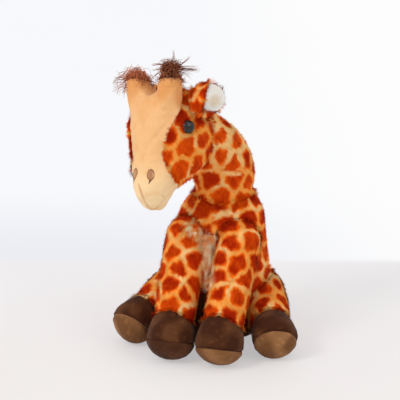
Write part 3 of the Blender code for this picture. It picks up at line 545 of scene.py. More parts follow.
def chest_share(points):
    """How far points lie in the bleached middle of the chest, from none to wholly."""
    return 1 - ease(gap_to(points, CHEST_LINE), 0.3 * CHEST_REACH, CHEST_REACH)


def bleach(points, colours):
    """The coat turns to mottled cream and pink down the middle of the chest."""
    share = chest_share(points) * ease(ripple(points, 7 * MM, 51), -1.5, 0.3)
    tint = mix(CHEST_CREAM, CHEST_PINK, ease(ripple(points, 6 * MM, 61), -0.1, 1.2))
    return mix(colours, tint, share * 0.8)


# Strands


def sampled(mesh, density, seed):
    """Random places on a mesh, and the outward direction at each."""
    mesh.calc_loop_triangles()
    corners = np.empty(len(mesh.loop_triangles) * 3, np.int32)
    mesh.loop_triangles.foreach_get("vertices", corners)
    corners = corners.reshape(-1, 3)
    points, normals = coordinates(mesh), vertex_normals(mesh)
    a, b, c = (points[corners[:, index]] for index in range(3))
    areas = np.linalg.norm(np.cross(b - a, c - a), axis=1) / 2
    count = int(min(MOST_STRANDS, density * areas.sum()))
    draw = np.random.default_rng(seed)
    face = draw.choice(len(areas), count, p=areas / areas.sum())
    first, second = draw.uniform(size=(2, count))
    turned = first + second > 1
    first[turned], second[turned] = 1 - first[turned], 1 - second[turned]
    shares = np.stack((1 - first - second, first, second), axis=1)
    chosen = corners[face]
    place = (points[chosen] * shares[:, :, None]).sum(1)
    normal = unit((normals[chosen] * shares[:, :, None]).sum(1))
    return place, normal


def kept(keep, *arrays):
    return [values[keep] for values in arrays]


RAY_START = 0.05 * MM


def free_length(places, directions, lengths, neighbours):
    """How long each strand may be before it meets a neighbour."""
    free = lengths.copy()
    for index in range(len(places)):
        origin = places[index] + directions[index] * RAY_START
        point, _, _, distance = neighbours.ray_cast(origin, directions[index], lengths[index] * 1.2)
        if point is not None:
            free[index] = distance * 0.85
    return free


def way_off(places, neighbours, reach):
    """How near the neighbours are, the way that leads off them and the way that they face."""
    near = np.full(len(places), reach)
    away = np.zeros((len(places), 3))
    facing = np.zeros((len(places), 3))
    for index, spot in enumerate(places):
        point, normal, _, distance = neighbours.find_nearest(spot, reach)
        if point is not None:
            near[index] = distance
            away[index] = (spot - np.array(point)) / max(distance, 1e-7)
            facing[index] = normal
    return near, away, facing


def mesh_from(name, points, triangles):
    mesh = bpy.data.meshes.new(name)
    mesh.vertices.add(len(points))
    mesh.vertices.foreach_set("co", points.astype(np.float32).ravel())
    mesh.loops.add(triangles.size)
    mesh.loops.foreach_set("vertex_index", triangles.astype(np.int32).ravel())
    mesh.polygons.add(len(triangles))
    mesh.polygons.foreach_set("loop_start", np.arange(0, triangles.size, 3, dtype=np.int32))
    mesh.update(calc_edges=True)
    return mesh


# How far a strand takes its shading from the skin under it, the painted shade at its foot and the painted
# light on its tip
PILE_SOFTEN = 0.88
FOOT_SHADE = 0.9
TIP_LIGHT = 1.06


def short_strands(name, roots, normals, directions, lengths, widths, colours, soften=PILE_SOFTEN):
    """Blades of pile: flat, closed spikes whose broad side faces out."""
    count = len(roots)
    side = unit(np.cross(directions, normals))
    half = (widths / 2)[:, None]
    root = roots - normals * PILE_SINK
    points = np.stack((
        root + side * half,
        root - side * half,
        root - normals * half * 0.3,
        roots + directions * lengths[:, None],
    ), axis=1).reshape(-1, 3)
    start = (np.arange(count) * 4)[:, None, None]
    pattern = np.array(((0, 3, 1), (1, 3, 2), (2, 3, 0), (0, 1, 2)))
    triangles = (start + pattern[None]).reshape(-1, 3)
    mesh = mesh_from(name, points, triangles)
    # Each blade's foot is painted darker as shade, and its tip lighter as painted light
    tips = np.clip(colours * TIP_LIGHT, 0, 1)
    shades = np.stack((colours, colours, colours * FOOT_SHADE, tips), axis=1).reshape(-1, 3)
    paint(mesh, shades)
    top = unit(np.cross(side, directions))
    lean = unit(normals * soften + top * (1 - soften) + directions * 0.15)
    mesh.shade_smooth()
    mesh.normals_split_custom_set_from_vertices(np.repeat(lean, 4, axis=0))
    return new_object(name, mesh)


HAIR_TIP_SHARE = 0.25
SIDE_HINT = np.array((0.31, 0.52, 0.79))


def long_strands(name, paths, radii, colours, facing=None):
    """Three-sided tapering hairs along paths of equal counts of points."""
    count, steps, _ = paths.shape
    ahead = unit(np.gradient(paths, axis=1))
    side = unit(np.cross(ahead, np.broadcast_to(unit(SIDE_HINT), ahead.shape)))
    other = np.cross(ahead, side)
    taper = np.linspace(1, HAIR_TIP_SHARE, steps)[None, :, None]
    rings = []
    for corner in range(3):
        angle = 2 * pi * corner / 3
        rings.append(paths + (side * cos(angle) + other * sin(angle)) * radii[:, None, None] * taper)
    points = np.stack(rings, axis=2).reshape(-1, 3)
    pattern = []
    for step in range(steps - 1):
        for corner in range(3):
            after = (corner + 1) % 3
            a, b = step * 3 + corner, step * 3 + after
            pattern += [(a, b, b + 3), (a, b + 3, a + 3)]
    pattern += [(0, 2, 1), (steps * 3 - 3, steps * 3 - 2, steps * 3 - 1)]
    start = (np.arange(count) * steps * 3)[:, None, None]
    triangles = (start + np.array(pattern)[None]).reshape(-1, 3)
    mesh = mesh_from(name, points, triangles)
    paint(mesh, np.repeat(colours, steps * 3, axis=0))
    mesh.shade_smooth()
    if facing is not None:
        mesh.normals_split_custom_set_from_vertices(np.repeat(facing, steps * 3, axis=0))
    return new_object(name, mesh)


def grow_paths(roots, directions, lengths, steps, droop, curl, seed):
    """Hair paths that start along their directions, curl about their own axes and sink."""
    draw = np.random.default_rng(seed)
    axes = unit(draw.normal(size=roots.shape))
    heading = directions.copy()
    place = roots.copy()
    path = [place]
    for _ in range(steps - 1):
        turn = np.cross(axes, heading) * curl[:, None]
        heading = unit(heading + turn + DOWN * droop)
        place = place + heading * (lengths / (steps - 1))[:, None]
        path.append(place)
    return np.stack(path, axis=1)


# Materials


def feed(tree, target, inputs):
    """Sets a node's inputs, each to a value or to the output of another node."""
    for socket, value in inputs.items():
        if isinstance(value, bpy.types.NodeSocket):
            tree.links.new(value, target.inputs[socket])
        else:
            target.inputs[socket].default_value = value


def add_node(tree, kind, inputs, **settings):
    """A shader node with its settings and inputs. Returns its outputs."""
    made = tree.nodes.new("ShaderNode" + kind)
    for setting, value in settings.items():
        setattr(made, setting, value)
    feed(tree, made, inputs)
    return made.outputs


def new_material(name):
    made = bpy.data.materials.new(name)
    made.use_nodes = True
    return made, made.node_tree, made.node_tree.nodes["Principled BSDF"]


def noise(tree, scale, detail=2.0):
    spot = add_node(tree, "TexCoord", {})["Object"]
    return add_node(tree, "TexNoise", {"Scale": scale, "Detail": detail, "Vector": spot})["Fac"]


def add_bump(tree, shader, scale, strength, distance):
    inputs = {"Strength": strength, "Distance": distance, "Height": noise(tree, scale)}
    feed(tree, shader, {"Normal": add_node(tree, "Bump", inputs)["Normal"]})


CLOTH_SHINE = 0.08
SHEEN_ROUGHNESS = 0.4


def painted(name, grain, low, high, roughness, sheen, bump=None):
    """A cloth that takes its colour from the paint on its points, varied by a fine grain."""
    made, tree, shader = new_material(name)
    colour = add_node(tree, "VertexColor", {}, layer_name=PAINT_LAYER)["Color"]
    shade = add_node(tree, "MapRange", {"To Min": low, "To Max": high, "Value": noise(tree, grain)})
    blend = add_node(tree, "Mix", {"Factor": 1, "A": colour, "B": shade["Result"]},
                     data_type="RGBA", blend_type="MULTIPLY")
    feed(tree, shader, {
        "Base Color": blend["Result"], "Roughness": roughness, "Specular IOR Level": CLOTH_SHINE,
        "Sheen Weight": sheen, "Sheen Roughness": SHEEN_ROUGHNESS,
    })
    if bump:
        add_bump(tree, shader, *bump)
    return made


def two_tone(name, dark, light, scale, roughness, shine, bump):
    """A material that wanders between two colours, with a fine bump."""
    made, tree, shader = new_material(name)
    ramp = tree.nodes.new("ShaderNodeValToRGB")
    for stop, colour, spot in zip(ramp.color_ramp.elements, (dark, light), (0.35, 0.65)):
        stop.position = spot
        stop.color = (*linear(colour), 1)
    feed(tree, ramp, {"Fac": noise(tree, scale, 3.0)})
    feed(tree, shader, {
        "Base Color": ramp.outputs["Color"], "Roughness": roughness, "Specular IOR Level": shine,
    })
    add_bump(tree, shader, *bump)
    return made


# For each cloth: its grain and the grain's lowest and highest tone, roughness, sheen, and its bump's
# scale, strength and depth
PLUSH = painted("plush_pattern", 700, 0.88, 1.14, 0.95, 0.0, (900, 0.5, 0.0006))
PILE = painted("plush_pile", 450, 0.92, 1.16, 0.95, 0.0)
HAIR = painted("brown_hair", 600, 0.85, 1.25, 0.55, 0.0)
PEACH_VELOUR = painted("peach_velour", 500, 0.95, 1.05, 0.85, 0.25, (1500, 0.25, 0.0003))
LINING = painted("white_lining", 700, 0.93, 1.05, 0.9, 0.2, (1300, 0.4, 0.0004))
VELOUR = painted("velour", 900, 0.86, 1.14, 0.8, 0.08, (1600, 0.35, 0.0003))
THREAD = painted("seam_thread", 900, 0.85, 1.2, 0.6, 0.1, (2500, 0.4, 0.0002))
NOSTRIL = painted("nostril_thread", 900, 0.9, 1.1, 0.6, 0.2)
GLASS_EYE = two_tone("eye_gloss", (0.01, 0.01, 0.01), (0.04, 0.03, 0.025), 160, 0.3, 0.0,
                     (60, 0.02, 0.0002))
WASHER = two_tone("washer_plastic", (0.86, 0.86, 0.84), (0.92, 0.92, 0.90), 300, 0.4, 0.5,
                  (800, 0.1, 0.0001))
BAG_CLOTH = two_tone("pellet_cloth", (0.85, 0.83, 0.78), (0.92, 0.90, 0.86), 1200, 0.9, 0.2,
                     (1800, 0.5, 0.0003))
feed(GLASS_EYE.node_tree, GLASS_EYE.node_tree.nodes["Principled BSDF"],
     {"Coat Weight": 1, "Coat Roughness": 0.02, "Coat IOR": 1.55})


def place(item, body, slot, material, *replaced):
    """Gives a finished piece its material, the body it rides on and the nodes it stands for."""
    item.data.materials.clear()
    item.data.materials.append(material)
    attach(item, body)
    if replaced:
        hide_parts(*replaced)


# Folds pressed into the skins, along lines listed on the photograph

# Each fold's node, its line, and its depth and width
FOLDS = (
    ("neck", ((211, 168), (222, 171), (236, 171.5), (248, 169)), 2.0 * MM, 2.2 * MM),
    ("neck", ((216, 139), (224, 146), (234, 149)), 0.7 * MM, 2.0 * MM),
    ("torso", ((233, 196), (232, 207), (235, 218), (236, 227)), 1.5 * MM, 2.0 * MM),
    ("torso", ((196, 196), (206, 200), (214, 200)), 0.8 * MM, 2.0 * MM),
    ("torso", ((196, 227), (204, 232), (212, 238)), 0.9 * MM, 2.2 * MM),
)


# Steps from pixel to pixel, and the height and place of a fold's swell, in its depth and width
LINE_STEPS = 8
SWELL_SHARE = 0.35
SWELL_AT = 2.4


def picked_line(pixels, wanted):
    """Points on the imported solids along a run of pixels, kept where they lie on the wanted nodes."""
    line = []
    for (x0, y0), (x1, y1) in zip(pixels[:-1], pixels[1:]):
        for step in range(LINE_STEPS):
            share = step / LINE_STEPS
            point, _, node = seen_at(x0 + (x1 - x0) * share, y0 + (y1 - y0) * share)
            if node in wanted:
                line.append(point)
    return np.array(line)


def press(item, line, depth, width):
    """Presses a fold into a skin along a line, with a slight swell on both sides."""
    if not len(line):
        return
    off = gap_to(coordinates(item.data), line) / width
    profile = -np.exp(-(off**2)) + SWELL_SHARE * np.exp(-((off - SWELL_AT) ** 2))
    push_out(item, depth * profile)


# Furred pieces


def flow_down(places, normals, bias):
    """The way the pile lies: down and along the bias, drawn flat on the skin."""
    pull = DOWN + np.array(bias, float) + ripple_vectors(places, 22 * MM, 71) * 0.35
    pull = pull - normals * (pull * normals).sum(1)[:, None]
    return unit(pull)


# Near a neighbour the pile is denser and stands up. BURIED is the cosine at which a place looks
# straight into a neighbour, where no strand grows
SEAM_REACH = 4.5 * MM
SEAM_CLOSE = 0.6 * SEAM_REACH
SEAM_DENSITY = 1.8 / MM**2
BURIED = -0.72
CLUMP_SIZE = 4.5 * MM
FLOOR_CLEAR = 1.0 * MM
TIP_CLEAR = 0.2 * MM
SHORTEST = 0.8 * MM
STUB = 0.3 * MM


def seam_places(item, neighbours, seed):
    """Random places on a skin, with more of them along its seams, and how its neighbours lie."""
    found = []
    for order, (density, reach) in enumerate(((PILE_DENSITY, np.inf), (SEAM_DENSITY, SEAM_CLOSE))):
        places, normals = sampled(item.data, density, seed + 3 * order)
        near, away, facing = way_off(places, neighbours, SEAM_REACH)
        buried = ((normals * away).sum(1) <= BURIED) & (near <= SEAM_CLOSE)
        keep = ~buried & (places[:, 2] > FLOOR_CLEAR) & (near < reach)
        found.append(kept(keep, places, normals, near, away, facing))
    return [np.concatenate(pair)[:MOST_STRANDS] for pair in zip(*found)]


def pile(item, node, coat_of, lift, rim):
    """Strands of short pile over a skin, which stand up along its seams and close over them."""
    name = node + "_pile"
    seed = sum(map(ord, name))
    draw = np.random.default_rng(seed + 1)
    neighbours = others_than([node])
    places, normals, near, away, facing = seam_places(item, neighbours, seed)
    closeness = (1 - near / SEAM_REACH)[:, None]
    out = unit(normals + facing * closeness * 0.9)
    clump = ripple_vectors(places, CLUMP_SIZE, 81) * 0.2 + draw.normal(size=places.shape) * 0.15
    directions = flow_down(places, normals, COAT_BIAS[node]) * (1 - 0.75 * closeness) + clump
    directions = unit(directions + out * (lift + 0.7 * closeness) - away * closeness * 0.45)
    lengths = PILE_LENGTH * draw.uniform(0.7, 1.25, len(places)) * (1 + 0.12 * ripple(places, 9 * MM, 91))
    lengths = lengths * (1 + rim * closeness[:, 0] + 0.6 * chest_share(places))
    close = near < SEAM_REACH
    lengths[close] = free_length(places[close], directions[close], lengths[close], neighbours)
    keep = lengths > SHORTEST
    places, out, directions, lengths = kept(keep, places, out, directions, lengths)
    above = places[:, 2] - TIP_CLEAR
    floor_room = np.where(directions[:, 2] < -0.05, above / -directions[:, 2], 1.0)
    lengths = np.minimum(lengths, np.maximum(floor_room, STUB))
    colours = coat_of(places)
    colours = colours * (1 + draw.normal(size=(len(places), 1)) * 0.05)
    widths = PILE_WIDTH * draw.uniform(0.8, 1.2, len(places))
    made = short_strands(name, places, out, directions, lengths, widths, np.clip(colours, 0, 1))
    place(made, BODY_OF[node], "plush_pattern", PILE)


# The way each coat is brushed, besides down
COAT_BIAS = {
    "torso": (0, 0, 0), "neck": (0, 0.3, 0), "head": (0.1, 0.6, 0), "tail": (0, 0.9, 0),
    "ear_left": (0.3, 0.2, 1.6), "ear_right": (-0.3, 0.2, 1.6),
    "front_leg_left": (0, -0.5, 0), "front_leg_right": (0, -0.5, 0),
    "hind_leg_left": (0.4, -1.2, 0), "hind_leg_right": (-0.4, -1.2, 0),
}


def horn_frame():
    """The middle between the horns, the way across the head and the way up them."""
    left, left_axis = node_axis("horn_left", spin=False)
    right, right_axis = node_axis("horn_right", spin=False)
    across = unit(left - right)
    up = unit(turned_to(left_axis, UP) + turned_to(right_axis, UP))
    return (left + right) / 2, across, unit(up - across * (up @ across))


# The V between the horns: half its width, its depth and how far the cloth sinks under it, and then
# its half width and depth in the head behind
NOTCH_HALF = 10 * MM
NOTCH_DEEP = 11 * MM
NOTCH_FOOT = 12 * MM
HEAD_HALF = 14 * MM
HEAD_DEEP = 12 * MM


def notch(item, deep, half):
    """Lets the cloth sink into a V between the horns."""
    middle, across, up = horn_frame()
    points = coordinates(item.data)
    aside = np.abs((points - middle) @ across)
    height = (points - middle) @ up
    top = height[aside < NOTCH_HALF / 2].max()
    foot = top - deep - NOTCH_FOOT
    sink = deep * np.clip(1 - aside / half, 0, 1)
    share = np.clip((height - foot) / (top - foot), 0, 1)
    set_coordinates(item.data, points - up * (sink * share)[:, None])


EAR_SWELL = {"ear_left": 4.5 * MM, "ear_right": 1.0 * MM}
EAR_FOOT_LOW = 2 * MM
EAR_FOOT_HIGH = 12 * MM


def thicken_ear(item, node):
    """Swells the back of an ear, which is a thick folded cup."""
    lining = node_points(node.replace("ear", "ear_lining"))
    back = unit(node_points(node).mean(0) - lining.mean(0))
    share = np.clip(vertex_normals(item.data) @ back + 0.15, 0, 1)
    height = coordinates(item.data)[:, 2]
    raised = ease(height - height.min(), EAR_FOOT_LOW, EAR_FOOT_HIGH)
    push_out(item, EAR_SWELL[node] * share * raised)


FINE_VOXEL = 0.9 * MM
COAT_VOXEL = 1.7 * MM


def make_coats():
    picked = picked_patches()
    for node in COAT_NODES:
        small = "ear" in node or node == "tail"
        item = skin(node + "_skin", [node], FINE_VOXEL if small else COAT_VOXEL, 4)
        if node == "head":
            notch(item, HEAD_DEEP, HEAD_HALF)
        if "ear" in node:
            thicken_ear(item, node)
        if not small:
            stuff(item, [node])
        inset(item, [node], PILE_INSET * (0.3 if small else 1))
        for wanted, pixels, depth, width in FOLDS:
            if wanted == node:
                press(item, picked_line(pixels, (node,)), depth, width)
        points = coordinates(item.data)
        centres, labels = spread_patches(node, points, picked[node])

        def coat_of(spots):
            return bleach(spots, coat(node, spots, centres, labels))

        paint(item.data, coat_of(points))
        place(item, BODY_OF[node], "plush_pattern", PLUSH, node)
        lift, rim = (0.7, 1.3) if small else (0.42, 0.6)
        pile(item, node, coat_of, lift, rim)


# Face, chin and horns in one peach velour

FACE_NODES = ["face", "chin", "horn_left", "horn_right"]
CHIN_PIXELS = ((162.5, 195.5), (165, 198.6))
MOUTH_PIXELS = (
    (139, 184), (141, 192), (145.5, 203), (149, 208), (152.6, 210), (156, 208.5), (160.5, 204.6),
    (164, 200), (168.4, 195.5), (172, 190.8),
)
FACE_VOXEL = 1.5 * MM
FACE_GROW = 0.35 * MM
FACE_INSET = 0.5 * MM
MOUTH_DEPTH = 0.9 * MM
MOUTH_WIDTH = 0.9 * MM
CHIN_WIDTH = 0.8 * MM
# Each crease's line, and its depth and width
FACE_CREASES = (
    (((147, 150), (153, 140), (160, 131), (166, 125)), 0.5 * MM, 1.6 * MM),
    (((132, 122), (139, 125), (146, 126)), 0.35 * MM, 1.5 * MM),
    (((140, 160), (150, 163), (160, 162)), 0.35 * MM, 1.8 * MM),
    (((157, 113), (166, 110), (175, 112)), 0.4 * MM, 1.4 * MM),
    (CHIN_PIXELS, 0.6 * MM, CHIN_WIDTH),
    (((160, 86), (167, 88), (175, 88)), 0.6 * MM, 1.2 * MM),
    (((133, 92), (140, 95), (146, 95)), 0.5 * MM, 1.2 * MM),
    (((150, 94), (151, 101), (150, 108)), 0.5 * MM, 1.8 * MM),
)


def make_face():
    item = skin("face_skin", FACE_NODES, FACE_VOXEL, 7, grow=FACE_GROW)
    notch(item, NOTCH_DEEP, NOTCH_HALF)
    smooth_skin(item, 2)
    stuff(item, FACE_NODES)
    subdivide(item)
    inset(item, FACE_NODES, FACE_INSET)
    points = coordinates(item.data)
    swell = 0.22 * ripple(points, 16 * MM, 101) + 0.10 * ripple(points, 7 * MM, 111)
    push_out(item, swell * MM)
    for pixels, depth, width in FACE_CREASES:
        press(item, picked_line(pixels, FACE_NODES), depth, width)
    press(item, picked_line(MOUTH_PIXELS, FACE_NODES), MOUTH_DEPTH, MOUTH_WIDTH)
    points = coordinates(item.data)
    low, high = points[:, 2].min(), points[:, 2].max()
    height = (points[:, 2] - low) / (high - low)
    wavy = height + 0.06 * ripple(points, 25 * MM, 121)
    colours = mix(PEACH_PALE, PEACH, ease(height, 0.08, 0.5))
    colours = mix(colours, PEACH_ORANGE, ease(wavy, 0.7, 0.95))
    colours = mix(colours, PEACH_ORANGE, ease(ripple(points, 14 * MM, 131), 0.7, 2.4) * 0.3)
    for pixels, width, strength in ((MOUTH_PIXELS, MOUTH_WIDTH, 0.8), (CHIN_PIXELS, CHIN_WIDTH, 0.5)):
        off = gap_to(points, picked_line(pixels, FACE_NODES)) / width
        colours = mix(colours, PEACH_SEAM, np.exp(-(off**2)) * strength)
    paint(item.data, colours)
    place(item, "head", "peach_velour", PEACH_VELOUR, *FACE_NODES)
    dress(item, *FACE_NODES)
    return item


FACE = make_face()


# Eyes and nostrils


def turned_mesh(name, centre, axis, profile, count):
    """A surface of revolution. The profile lists distance along the axis and radius."""
    axis = Vector(axis).normalized()
    side = axis.orthogonal().normalized()
    fore = axis.cross(side)
    points, faces, starts = [], [], []
    for along, radius in profile:
        middle = Vector(centre) + axis * along
        starts.append(len(points))
        turns = count if radius > 0 else 1
        for index in range(turns):
            angle = 2 * pi * index / count
            points.append(middle + (side * cos(angle) + fore * sin(angle)) * radius)
    for row in range(len(profile) - 1):
        low, high = starts[row], starts[row + 1]
        low_pole, high_pole = profile[row][1] == 0, profile[row + 1][1] == 0
        for index in range(count):
            after = (index + 1) % count
            if low_pole:
                faces.append((low, high + after, high + index))
            elif high_pole:
                faces.append((low + index, low + after, high))
            else:
                faces.append((low + index, low + after, high + after, high + index))
    mesh = bpy.data.meshes.new(name)
    mesh.from_pydata([tuple(point) for point in points], [], faces)
    shape = bmesh.new()
    shape.from_mesh(mesh)
    bmesh.ops.recalc_face_normals(shape, faces=shape.faces)
    shape.to_mesh(mesh)
    shape.free()
    mesh.shade_smooth()
    mesh.set_sharp_from_angle(angle=radians(40))
    return new_object(name, mesh)


# The eye's dome, and the bevel on the edge of its back
DOME_STEPS = 14
DOME_TURNS = 40
BEVEL_WIDE = 0.04
BEVEL_HIGH = 0.2 * MM


def make_eye(side):
    node = "eye_" + side
    middle, axis = node_axis(node)
    head_low, head_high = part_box("head")
    axis = turned_to(axis, middle - np.array((head_low + head_high) / 2))
    along, _, radius = round_axis(node_points(node) - middle, axis)
    widest = radius.max()
    rim = along[radius > widest * 0.98]
    tip, back, front, apex = along.min(), rim.min(), rim.max(), along.max()
    shank = radius[along < back - MM].max()
    profile = [(tip, 0), (tip, shank), (back, shank), (back, widest * (1 - BEVEL_WIDE))]
    profile.append((back + BEVEL_HIGH, widest))
    for step in range(DOME_STEPS):
        angle = pi / 2 * step / DOME_STEPS
        profile.append((front + (apex - front) * sin(angle), widest * cos(angle)))
    profile.append((apex, 0))
    item = turned_mesh("eye_dome_" + side, middle, axis, profile, DOME_TURNS)
    place(item, "head", "black_gloss", GLASS_EYE, node)


def surface_tree(item):
    item.data.calc_loop_triangles()
    points = [vertex.co for vertex in item.data.vertices]
    return BVHTree.FromPolygons(points, [tuple(face.vertices) for face in item.data.loop_triangles])


FACE_TREE = surface_tree(FACE)


def on_face(spot, way, millimetres):
    """The point of the face's cloth that lies so near in a direction, or else the spot itself."""
    hit, _, _, _ = FACE_TREE.ray_cast(spot + way * millimetres * MM, -way)
    return np.array(hit) if hit is not None else spot


# Satin stitch: threads round the rim, threads across the middle, and the tail's threads
RIM_THREADS = 56
FILL_THREADS = 22
TAIL_THREADS = 7
FILL_SHARE = 0.78
THREAD_RADIUS = 0.32 * MM
RIM_STITCH = ((1.0, -0.2), (0.95, 0.15), (0.87, 0.25), (0.78, 0.15), (0.72, -0.2))
STITCH_STEPS = 4


def make_nostril(side):
    """Satin stitch round a pink oval, with a dark end of thread below."""
    node = "nostril_" + side
    points = node_points(node)
    middle, _, axes = main_axes(points)
    out = turned_to(axes[:, 0], middle - np.array(sum(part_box("head"), Vector()) / 2))
    short = turned_to(axes[:, 1], horn_frame()[1] * (1 if side == "left" else -1))
    long = turned_to(axes[:, 2], DOWN)
    half_short = np.abs((points - middle) @ short).max()
    half_long = np.abs((points - middle) @ long).max()

    def stitch(along_short, along_long, rise):
        """A point on the face's cloth, raised by so many millimetres."""
        spot = middle + short * (along_short * half_short) + long * (along_long * half_long)
        return on_face(spot, out, 6) + out * (rise * MM)

    paths = []
    for index in range(RIM_THREADS):
        angle = 2 * pi * index / RIM_THREADS
        paths.append([stitch(cos(angle) * share, sin(angle) * share, rise) for share, rise in RIM_STITCH])
    steps = np.arange(STITCH_STEPS + 1) / STITCH_STEPS
    for index in range(FILL_THREADS):
        along = (2 * (index + 0.5) / FILL_THREADS - 1) * FILL_SHARE
        wide = FILL_SHARE * sqrt(1 - along**2)
        paths.append([stitch(step * wide, along, 0.22 - 0.3 * step**2) for step in 2 * steps - 1])
    for index in range(TAIL_THREADS):
        aside = (index / (TAIL_THREADS - 1) - 0.5) * 0.5
        paths.append([stitch(aside * (1 - step) - 0.45 * step, 0.95 + 0.75 * step, 0.12) for step in steps])
    colours = [NOSTRIL_BROWN] * RIM_THREADS + [NOSTRIL_PINK] * FILL_THREADS + [NOSTRIL_TAIL] * TAIL_THREADS
    radii = np.full(len(paths), THREAD_RADIUS)
    item = long_strands("nostril_threads_" + side, np.array(paths), radii, np.array(colours))
    place(item, "head", "brown_hair", NOSTRIL, node)


for side_name in SIDES:
    make_eye(side_name)
    make_nostril(side_name)


# Hooves, soles and the seat in velour


def nap(points, dark, light, seed):
    """Velour brushed two ways: broad soft clouds and finer marks."""
    share = ease(ripple(points, 26 * MM, seed), -1.2, 1.4) * 0.7
    share = share + ease(ripple(points, 7 * MM, seed + 1), 0.6, 2.0) * 0.3
    return mix(dark, light, np.clip(share, 0, 1))


DOME_RISE = 8 * MM
DOME_DEEP = 16 * MM
REST_GAP = 0.02 * MM
FLAT_HEIGHT = 2.5 * MM
DENT_HEIGHT = 0.12 * MM


def raise_dome(item, hoof, leg):
    """Draws the upper's rim up the front and back of the leg, as its round panels are cut."""
    middle = node_points(hoof).mean(0)
    axis = unit(node_points(leg).mean(0) - middle)
    points = coordinates(item.data)
    along, spokes, wide = round_axis(points - middle, axis)
    rim = np.quantile(wide, 0.98)
    fore = unit(np.cross(axis, ACROSS))
    turned_fore = np.abs(spokes @ fore) / np.maximum(wide, 1e-6)
    top = along.max()
    share = ease(along, top - DOME_DEEP, top) * ease(wide, 0.55 * rim, 0.8 * rim)
    rise = DOME_RISE * share * (turned_fore**2)
    set_coordinates(item.data, points + axis * rise[:, None])


def finish_velour(item, node, dark, light, slot_name, seed):
    points = coordinates(item.data)
    lift = np.where(points[:, 2] < FLAT_HEIGHT, 0, DENT_HEIGHT * ripple(points, 9 * MM, seed + 2))
    points = push_out(item, lift, REST_GAP)
    paint(item.data, nap(points, dark, light, seed))
    place(item, BODY_OF[node], slot_name, VELOUR, node)
    dress(item, node)


# Points of the upper this near to the sole are on their seam
SHARED_EDGE = 0.45 * MM


def seam_plane(hoof, sole):
    """Middle of the seam between a hoof's upper and its sole, and the way to the sole."""
    upper, lower = node_points(hoof), node_points(sole)
    edge = np.unique(upper[gap_to(upper, lower) < SHARED_EDGE].round(6), axis=0)
    middle, _, axes = main_axes(edge)
    return middle, turned_to(axes[:, 0], lower.mean(0) - middle)


def parted(name, mesh, middle, flat, gap):
    """The part of a closed mesh on the far side of a plane, closed again."""
    shape = bmesh.new()
    shape.from_mesh(mesh)
    everything = shape.verts[:] + shape.edges[:] + shape.faces[:]
    cut = bmesh.ops.bisect_plane(shape, geom=everything, plane_co=middle + flat * gap, plane_no=flat,
                                 clear_inner=True, dist=1e-7)
    rim = [edge for edge in cut["geom_cut"] if isinstance(edge, bmesh.types.BMEdge)]
    ring = {vertex.co.to_tuple(7) for edge in rim for vertex in edge.verts}
    bmesh.ops.holes_fill(shape, edges=rim, sides=0)
    bmesh.ops.triangulate(shape, faces=[face for face in shape.faces if len(face.verts) > 4])
    bmesh.ops.recalc_face_normals(shape, faces=shape.faces)
    made = bpy.data.meshes.new(name)
    shape.to_mesh(made)
    shape.free()
    made.shade_smooth()
    made.set_sharp_from_angle(angle=radians(50))
    return new_object(name, made), np.array(sorted(ring))


HOOF_VOXEL = 1.4 * MM
HOOF_GROW = 0.25 * MM
HOOF_INSET = 0.2 * MM
SEAT_VOXEL = 2.2 * MM

# The groove along the seam and the swell beside it, each from a height above the ground
SEAM_GROOVE = 1.1 * MM
GROOVE_WIDTH = 1.2 * MM
GROOVE_LOW = 1 * MM
SEAM_SWELL = 0.35 * MM
SWELL_OFF = 3.2 * MM
SWELL_WIDTH = 2 * MM
SWELL_LOW = 4 * MM
PARTING = 0.06 * MM

# Each stitch starts sunk, rises over its share of the spacing, and is left out near the ground
STITCH_SPACING = 2.7 * MM
STITCH_RADIUS = 0.4 * MM
STITCH_SHARE = 0.6
STITCH_SUNK = 0.2
STITCH_RISE = 0.75
STITCH_LOW = 0.7 * MM


def make_stitches(name, ring, middle, flat, body, colour):
    """Short stitches along the seam of a hoof."""
    wide = unit(np.cross(flat, ACROSS))
    fore = np.cross(flat, wide)
    spokes = ring - middle
    ring = ring[np.argsort(np.arctan2(spokes @ fore, spokes @ wide))]
    closed = np.vstack((ring, ring[:1]))
    ends = np.concatenate(([0], np.cumsum(np.linalg.norm(np.diff(closed, axis=0), axis=1))))
    count = int(ends[-1] / STITCH_SPACING)
    paths = []
    for index in range(count):
        path = []
        for step in range(STITCH_STEPS + 1):
            share = step / STITCH_STEPS
            at = (index + share * STITCH_SHARE) * ends[-1] / count
            point = np.array([np.interp(at, ends, closed[:, axis]) for axis in range(3)])
            path.append(point + unit(point - middle) * ((STITCH_RISE * sin(pi * share) - STITCH_SUNK) * MM))
        if min(spot[2] for spot in path) > STITCH_LOW:
            paths.append(path)
    colours = np.tile(np.array(colour), (len(paths), 1))
    item = long_strands(name, np.array(paths), np.full(len(paths), STITCH_RADIUS), colours)
    place(item, body, "sole_velour", THREAD)


